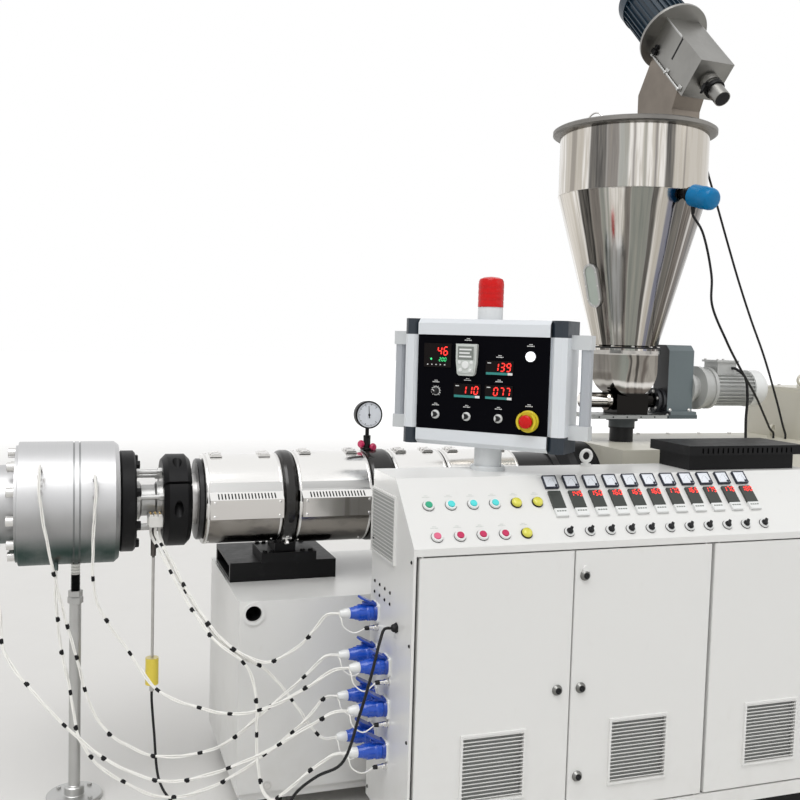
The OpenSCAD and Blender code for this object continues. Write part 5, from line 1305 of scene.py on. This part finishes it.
dome = move(pendantFrame @ Vector(pendant["beacon"]))
base = Form(dome).solid([(40, 0), (40, 38), (38.5, 41.5)], 48)
onPendant(base, "beaconBase", "frameGrey", "beacon_red", replaces=["beacon"])
steps = [p for k in range(4) for p in ((41, 45 + 19 * k), (40.8, 58 + 19 * k), (40, 60 + 19 * k))]
lens = Form(dome).turned([(0, 41), (41, 41)] + steps + [(40, 122), (36, 130), (24, 135), (0, 138)], 48)
onPendant(lens, "beaconLens", "red", "beacon_red")
(x, y, z), reach, top = (pendant[key] for key in ("place", "neckRadius", "neckTop"))
turns = [math.radians(degrees) for degrees in pendant["neckAngles"]]
screws = placed([(x + reach * math.cos(a), y + reach * math.sin(a), top) for a in turns])
scatter("neckScrews", hexHead(6, 4), screws, "boltSteel", turnSpread=1)
print("pendant dressed")


# Hopper: seam, gasket, clamp bolts, lid handles, sight glass and level sensor
hopper = {"axis": 2050, "seam": (2140, 283.6), "clampBolts": (10, 127, 1557), "cone": (125, 158.5, 583),
          "sight": 0.4, "handles": (205, 335), "handleReach": 262, "lidTop": 2386, "handleHalf": 34,
          "sensorHeight": 2125, "sensorReach": 279.4}
hopperAt = move((hopper["axis"], 0, 0))
z, radius = hopper["seam"]
seam = Form(hopperAt).turned([(radius - 2, z - 2), (radius - 0.4, z - 2), (radius + 0.9, z - 1),
                              (radius + 0.9, z + 1), (radius, z + 2), (radius - 2, z + 2)], 128, closed=True)
piece(seam, "hopperSeam", "hopperSheet", "polished_steel")
piece(Form(hopperAt).ring(132, 137.5, 1552.5, 1558.5, 96), "hopperGasket", "blackRubber", "black_metal")
count, radius, z = hopper["clampBolts"]
turns = [2 * math.pi * k / count for k in range(count)]
bolts = placed([(hopper["axis"] + radius * math.cos(a), radius * math.sin(a), z) for a in turns])
scatter("hopperClampBolts", hexHead(6.5, 5, 8), bolts, "boltSteel", turnSpread=1)
handles, arch = Form(), [math.pi * k / 16 for k in range(17)]
reach, half = hopper["handleReach"], hopper["handleHalf"]
for degrees in hopper["handles"]:
    c, s = math.cos(math.radians(degrees)), math.sin(math.radians(degrees))
    spot = facing((hopper["axis"] + reach * c, reach * s, hopper["lidTop"]), (0, 0, 1), (-s, c, 0))
    handles.tube([spot @ Vector((-half * math.cos(t), 0, half * math.sin(t))) for t in arch], 3.4, 10)
    for x in (-half, half):
        handles.rod(9, -2, 3, 16, spot @ move((x, 0, 0)))
piece(handles, "lidHandles", "coverTrim", "bright_steel")

foot, spread, rise = hopper["cone"]
coneLean = math.atan2(spread, rise)
sightAt = (move((hopper["axis"], 0, 1557 + hopper["sight"] * rise)) @ turnDegrees(-165, "Z")
           @ move((foot + hopper["sight"] * spread - 4, 0, 0)) @ spin(math.pi / 2 + coneLean, 4, "Y")
           @ turnDegrees(90, "Z"))


def oval(half, tall, points=14):
    turns = [math.pi * k / points for k in range(points + 1)]
    top = [(half * math.cos(a), tall - half + half * math.sin(a)) for a in turns]
    return top + [(-x, -y) for x, y in top]


sight = Form(sightAt)
outer, inner = oval(35, 85), oval(25, 75)
rings = [[sight.point(None, x, y, h) for x, y in shape]
         for shape, h in ((outer, 0), (outer, 12), (inner, 12), (inner, 0))]
for a, b in zip(rings, rings[1:] + rings[:1]):
    for k in range(len(a)):
        n = (k + 1) % len(a)
        sight.mesh.faces.new([a[k], a[n], b[n], b[k]])
piece(sight, "sightFrame", "plainSteel", "sight_pane", replaces=["sight_glass"], bevel=1)
piece(Form(sightAt).prism(oval(26, 76), 0, 9), "sightPane", "milkPane", "sight_pane")
spots = [(-30, -52), (30, -52), (-30, 0), (30, 0), (-30, 52), (30, 52), (0, 80), (0, -80)]
screws = placed([sightAt @ Vector((x, y, 12)) for x, y in spots], sightAt.col[2].to_3d(),
                sightAt.col[0].to_3d())
scatter("sightScrews", panHead(3, 1.8), screws, "boltSteel", turnSpread=3)

sensorAt = (move((hopper["axis"], 0, hopper["sensorHeight"])) @ turnDegrees(-80, "Z")
            @ move((hopper["sensorReach"], 0, 0)) @ spin(coneLean, 4, "Y") @ turnDegrees(90, "Y"))
head = Form(sensorAt).solid([(30, 42), (36, 44), (40, 49), (40, 96), (41, 97), (41, 102), (40, 103),
                             (40, 130), (38, 139), (33, 146), (25, 150)], 40)
piece(head, "sensorHead", "sensorBlue", "sensor_blue", replaces=["level_sensor"])
stub = Form(sensorAt).rod(19, -6, 18, 24).rod(27, 17, 30, 6).rod(17, 29, 43, 24)
piece(stub, "sensorStub", "blackened", "bright_steel")
gland = Form(move((2107, -322, 0)))
gland.solid([(9, 2072), (9, 2064), (7.5, 2062), (7.5, 2052), (5, 2046)], 14)
piece(gland, "sensorGland", "blackPlastic", "black_metal")
print("hopper dressed")


# Loader: a black strip as painted shade in its slot and a black disc across its stub, hinge rod, cover of the
# bracket, catch and the clamp on its stub
loader = {"place": (2190, -30, 2761), "turn": -87, "tilt": 45, "hinges": (34, 156, 270)}
loaderAt = move(loader["place"]) @ turnDegrees(loader["turn"], "Z") @ turnDegrees(loader["tilt"], "Y")
loaderAxis = loaderAt @ turnDegrees(90, "Y")
# black strip in the bracket's slot: painted shade
slot = Form(loaderAt).box((142, -75.5, -16), (151, -74.4, 70)).rod(27, 419.6, 420.4, 28, loaderAxis)
piece(slot, "loaderSlot", "blackRubber", "black_metal")
hinge = Form(loaderAt).tube([(30, -80, -66), (276, -80, -66)], 3.4, 10)
for x in loader["hinges"]:
    hinge.rod(7, -5, 5, 12, loaderAt @ move((x, -80, -66)) @ turnDegrees(90, "Y"))
    hinge.box((x - 11, -78, -70), (x + 11, -74.6, -50))
hinge.box((0.5, -77.5, 69), (140, -74.7, 75.4)).box((0.5, 74.7, 69), (140, 77.5, 75.4))
piece(hinge, "loaderHinge", "plainSteel", "bright_steel", bevel=0.6)
cover = Form(loaderAt @ turnDegrees(90, "X"))
cover.prism([(190, 60), (190, 75.8), (300.8, 75.8), (300.8, -20), (292, -20)], -1, 75.8)
piece(cover, "loaderCover", "castGrey", "bright_steel")
catch = Form(loaderAt).box((22, -88, -58), (50, -75.5, -40))
catch.rod(9, 75, 86, 14, loaderAt @ move((36, 0, -30)) @ turnDegrees(90, "X"))
piece(catch, "loaderCatch", "blackened", "black_metal", bevel=1.5)
clamp = Form(loaderAxis).box((-12, -52, 346), (12, -33, 362))
clamp.turned([(30, 345), (36, 345), (37, 347), (37, 361), (36, 363), (30, 363)], 32, closed=True)
clamp.rod(5, -24, 24, 12, loaderAxis @ move((0, -46, 354)) @ turnDegrees(90, "Y"))
piece(clamp, "loaderClamp", "blackened", "black_metal")
print("loader dressed")


# Feeder: bolts, black discs as painted shade in the plate holes, motor cowl
feeder = {"plate": 1294, "motor": 1400, "bearing": (2184.5, 39.6, 1348), "motorFlange": (2442, 80)}
bolts = placed([(x, -50.5, 1312) for x in (2236, 2325)], (0, -1, 0))
bolts += placed([(x, y, feeder["plate"] + 0.3) for x in (2214, 2346) for y in (-66, 66)])
x, radius, z = feeder["bearing"]
ways = [outFrom(degrees) for degrees in range(15, 375, 60)]
bolts += placed([(x, radius * way[1], z + radius * way[2]) for way in ways], (-1, 0, 0), (0, 0, 1))
scatter("feederBolts", hexHead(6, 5, 7.5), bolts, "boltSteel", turnSpread=1)
# black discs on the plate: painted shade in its holes
holes = Form()
for k in range(7):
    for y in (-64, 64):
        holes.rod(5, -0.2, 0.4, 14, move((1886 + 46 * k, y, feeder["plate"])))
for k in range(6):
    holes.rod(3.4, -0.2, 0.4, 12, facing((1900 + 62 * k, -80, feeder["plate"] - 7), (0, -1, 0), (1, 0, 0)))
piece(holes, "plateHoles", "blackRubber", "black_metal")
cowl = Form(facing((0, 0, feeder["motor"]), (1, 0, 0)))
cowl.turned([(66, 2630), (75.4, 2630), (75.6, 2634), (75.6, 2677), (73, 2684), (60, 2699.6), (0, 2700.2),
             (0, 2698), (58, 2697), (66, 2688)], 48)
piece(cowl, "feederCowl", "plugWhite", "silver_paint")
(x, radius), z = feeder["motorFlange"], feeder["motor"]
ways = [outFrom(degrees) for degrees in range(45, 405, 90)]
bolts = placed([(x, radius * way[1], z + radius * way[2]) for way in ways], (1, 0, 0), (0, 0, 1))
bolts += placed([(x, y, 1515) for x in (2460, 2548) for y in (-40, 40)])
scatter("feederMotorBolts", hexHead(6, 5), bolts, "boltSteel")
print("feeder dressed")


# Gearbox, motor and base: bolts, fan grille and a black disc behind it as painted shade
def rowOnSides(count, start, pitch, reach, z):
    # bolts that point out of both long sides
    places = [(k, side) for k in range(count) for side in (-1, 1)]
    return [((start + k * pitch, side * reach, z), (0, side, 0), (1, 0, 0)) for k, side in places]


drive = {"flange": (2914, 448 / 6, 304.5), "flangeTops": (1090, 760), "throat": (1905, 78, 300, 750),
         "guard": (3402, 46, 130, 990), "grille": 4048, "motorTop": 1270, "clamp": (316.5, 129, 44),
         "base": (590, 556.7, 317, 112), "saddle": (74, 820)}
start, pitch, reach = drive["flange"]
bolts = [(start + k * pitch, side * reach, z)
         for k in range(7) for side in (-1, 1) for z in drive["flangeTops"]]
start, pitch, reach, z = drive["throat"]
bolts += [(start + k * pitch, side * reach, z) for k in range(5) for side in (-1, 1)]
scatter("driveBolts", hexHead(9, 7), placed(bolts), "beige", turnSpread=1)
bolts = [(x, y, 1403) for x in (2920, 3030, 3138, 3246, 3356) for y in (-262, 262)]
bolts += [(x, y, 1185) for x in (2290, 2440, 2600, 2760) for y in (-250, 250)]
scatter("coverBolts", hexHead(8, 6, 10), placed(bolts), "boltSteel", turnSpread=1)
scatter("hoodBolts", hexHead(10, 8), boltCircle(12, 168, 1824, -1, 15), "blackened")
bolts = rowOnSides(3, *drive["guard"])
scatter("guardBolts", hexHead(7, 5), bolts, "boltSteel")
at = facing((drive["grille"], 0, axisHeight), (1, 0, 0))
grille = Form(at)
for k in range(6):
    grille.ring(30 + 24 * k, 36 + 24 * k, 0, 1.4, 64)
for k in range(24):
    grille.box((30, -1.6, 0.2), (158, 1.6, 1.8), at @ turnDegrees(15 * k, "Z"))
piece(grille, "motorGrille", "motorPaint", "motor_paint")
# black disc behind the grille: painted shade seen through it
piece(Form(at).ring(28, 160, 0.1, 0.5, 64), "motorScreen", "blackRubber", "black_metal")
bolts = placed([(x, y, drive["motorTop"]) for x in (3640, 3776) for y in (-58, 58)])
scatter("motorBolts", hexHead(9, 7, 12), bolts, "boltSteel")
pockets, (x, reach, out) = [], drive["clamp"]
for along in (-1, 1):
    for side in (-1, 1):
        d, e = Vector((0, 0.5, 0.866)) * along, Vector((0, 0.866, -0.5)) * side
        pockets.append((Vector((x, 0, axisHeight)) + e * reach + d * out, d, (1, 0, 0)))
scatter("clampBolts", hexHead(12.5, 15, 14), pockets, "blackened", turnSpread=1)
bolts = rowOnSides(7, *drive["base"])
scatter("baseBolts", hexHead(11, 8, 15), bolts, "boltSteel", turnSpread=1)
reach, z = drive["saddle"]
bolts = placed([(x, y, z) for y in (-reach, reach) for x in (616, 640, 748, 776)])
scatter("saddleBolts", hexHead(8, 7, 10), bolts, "blackened", turnSpread=1)
print("drive dressed")


# The end
print("scene finished")
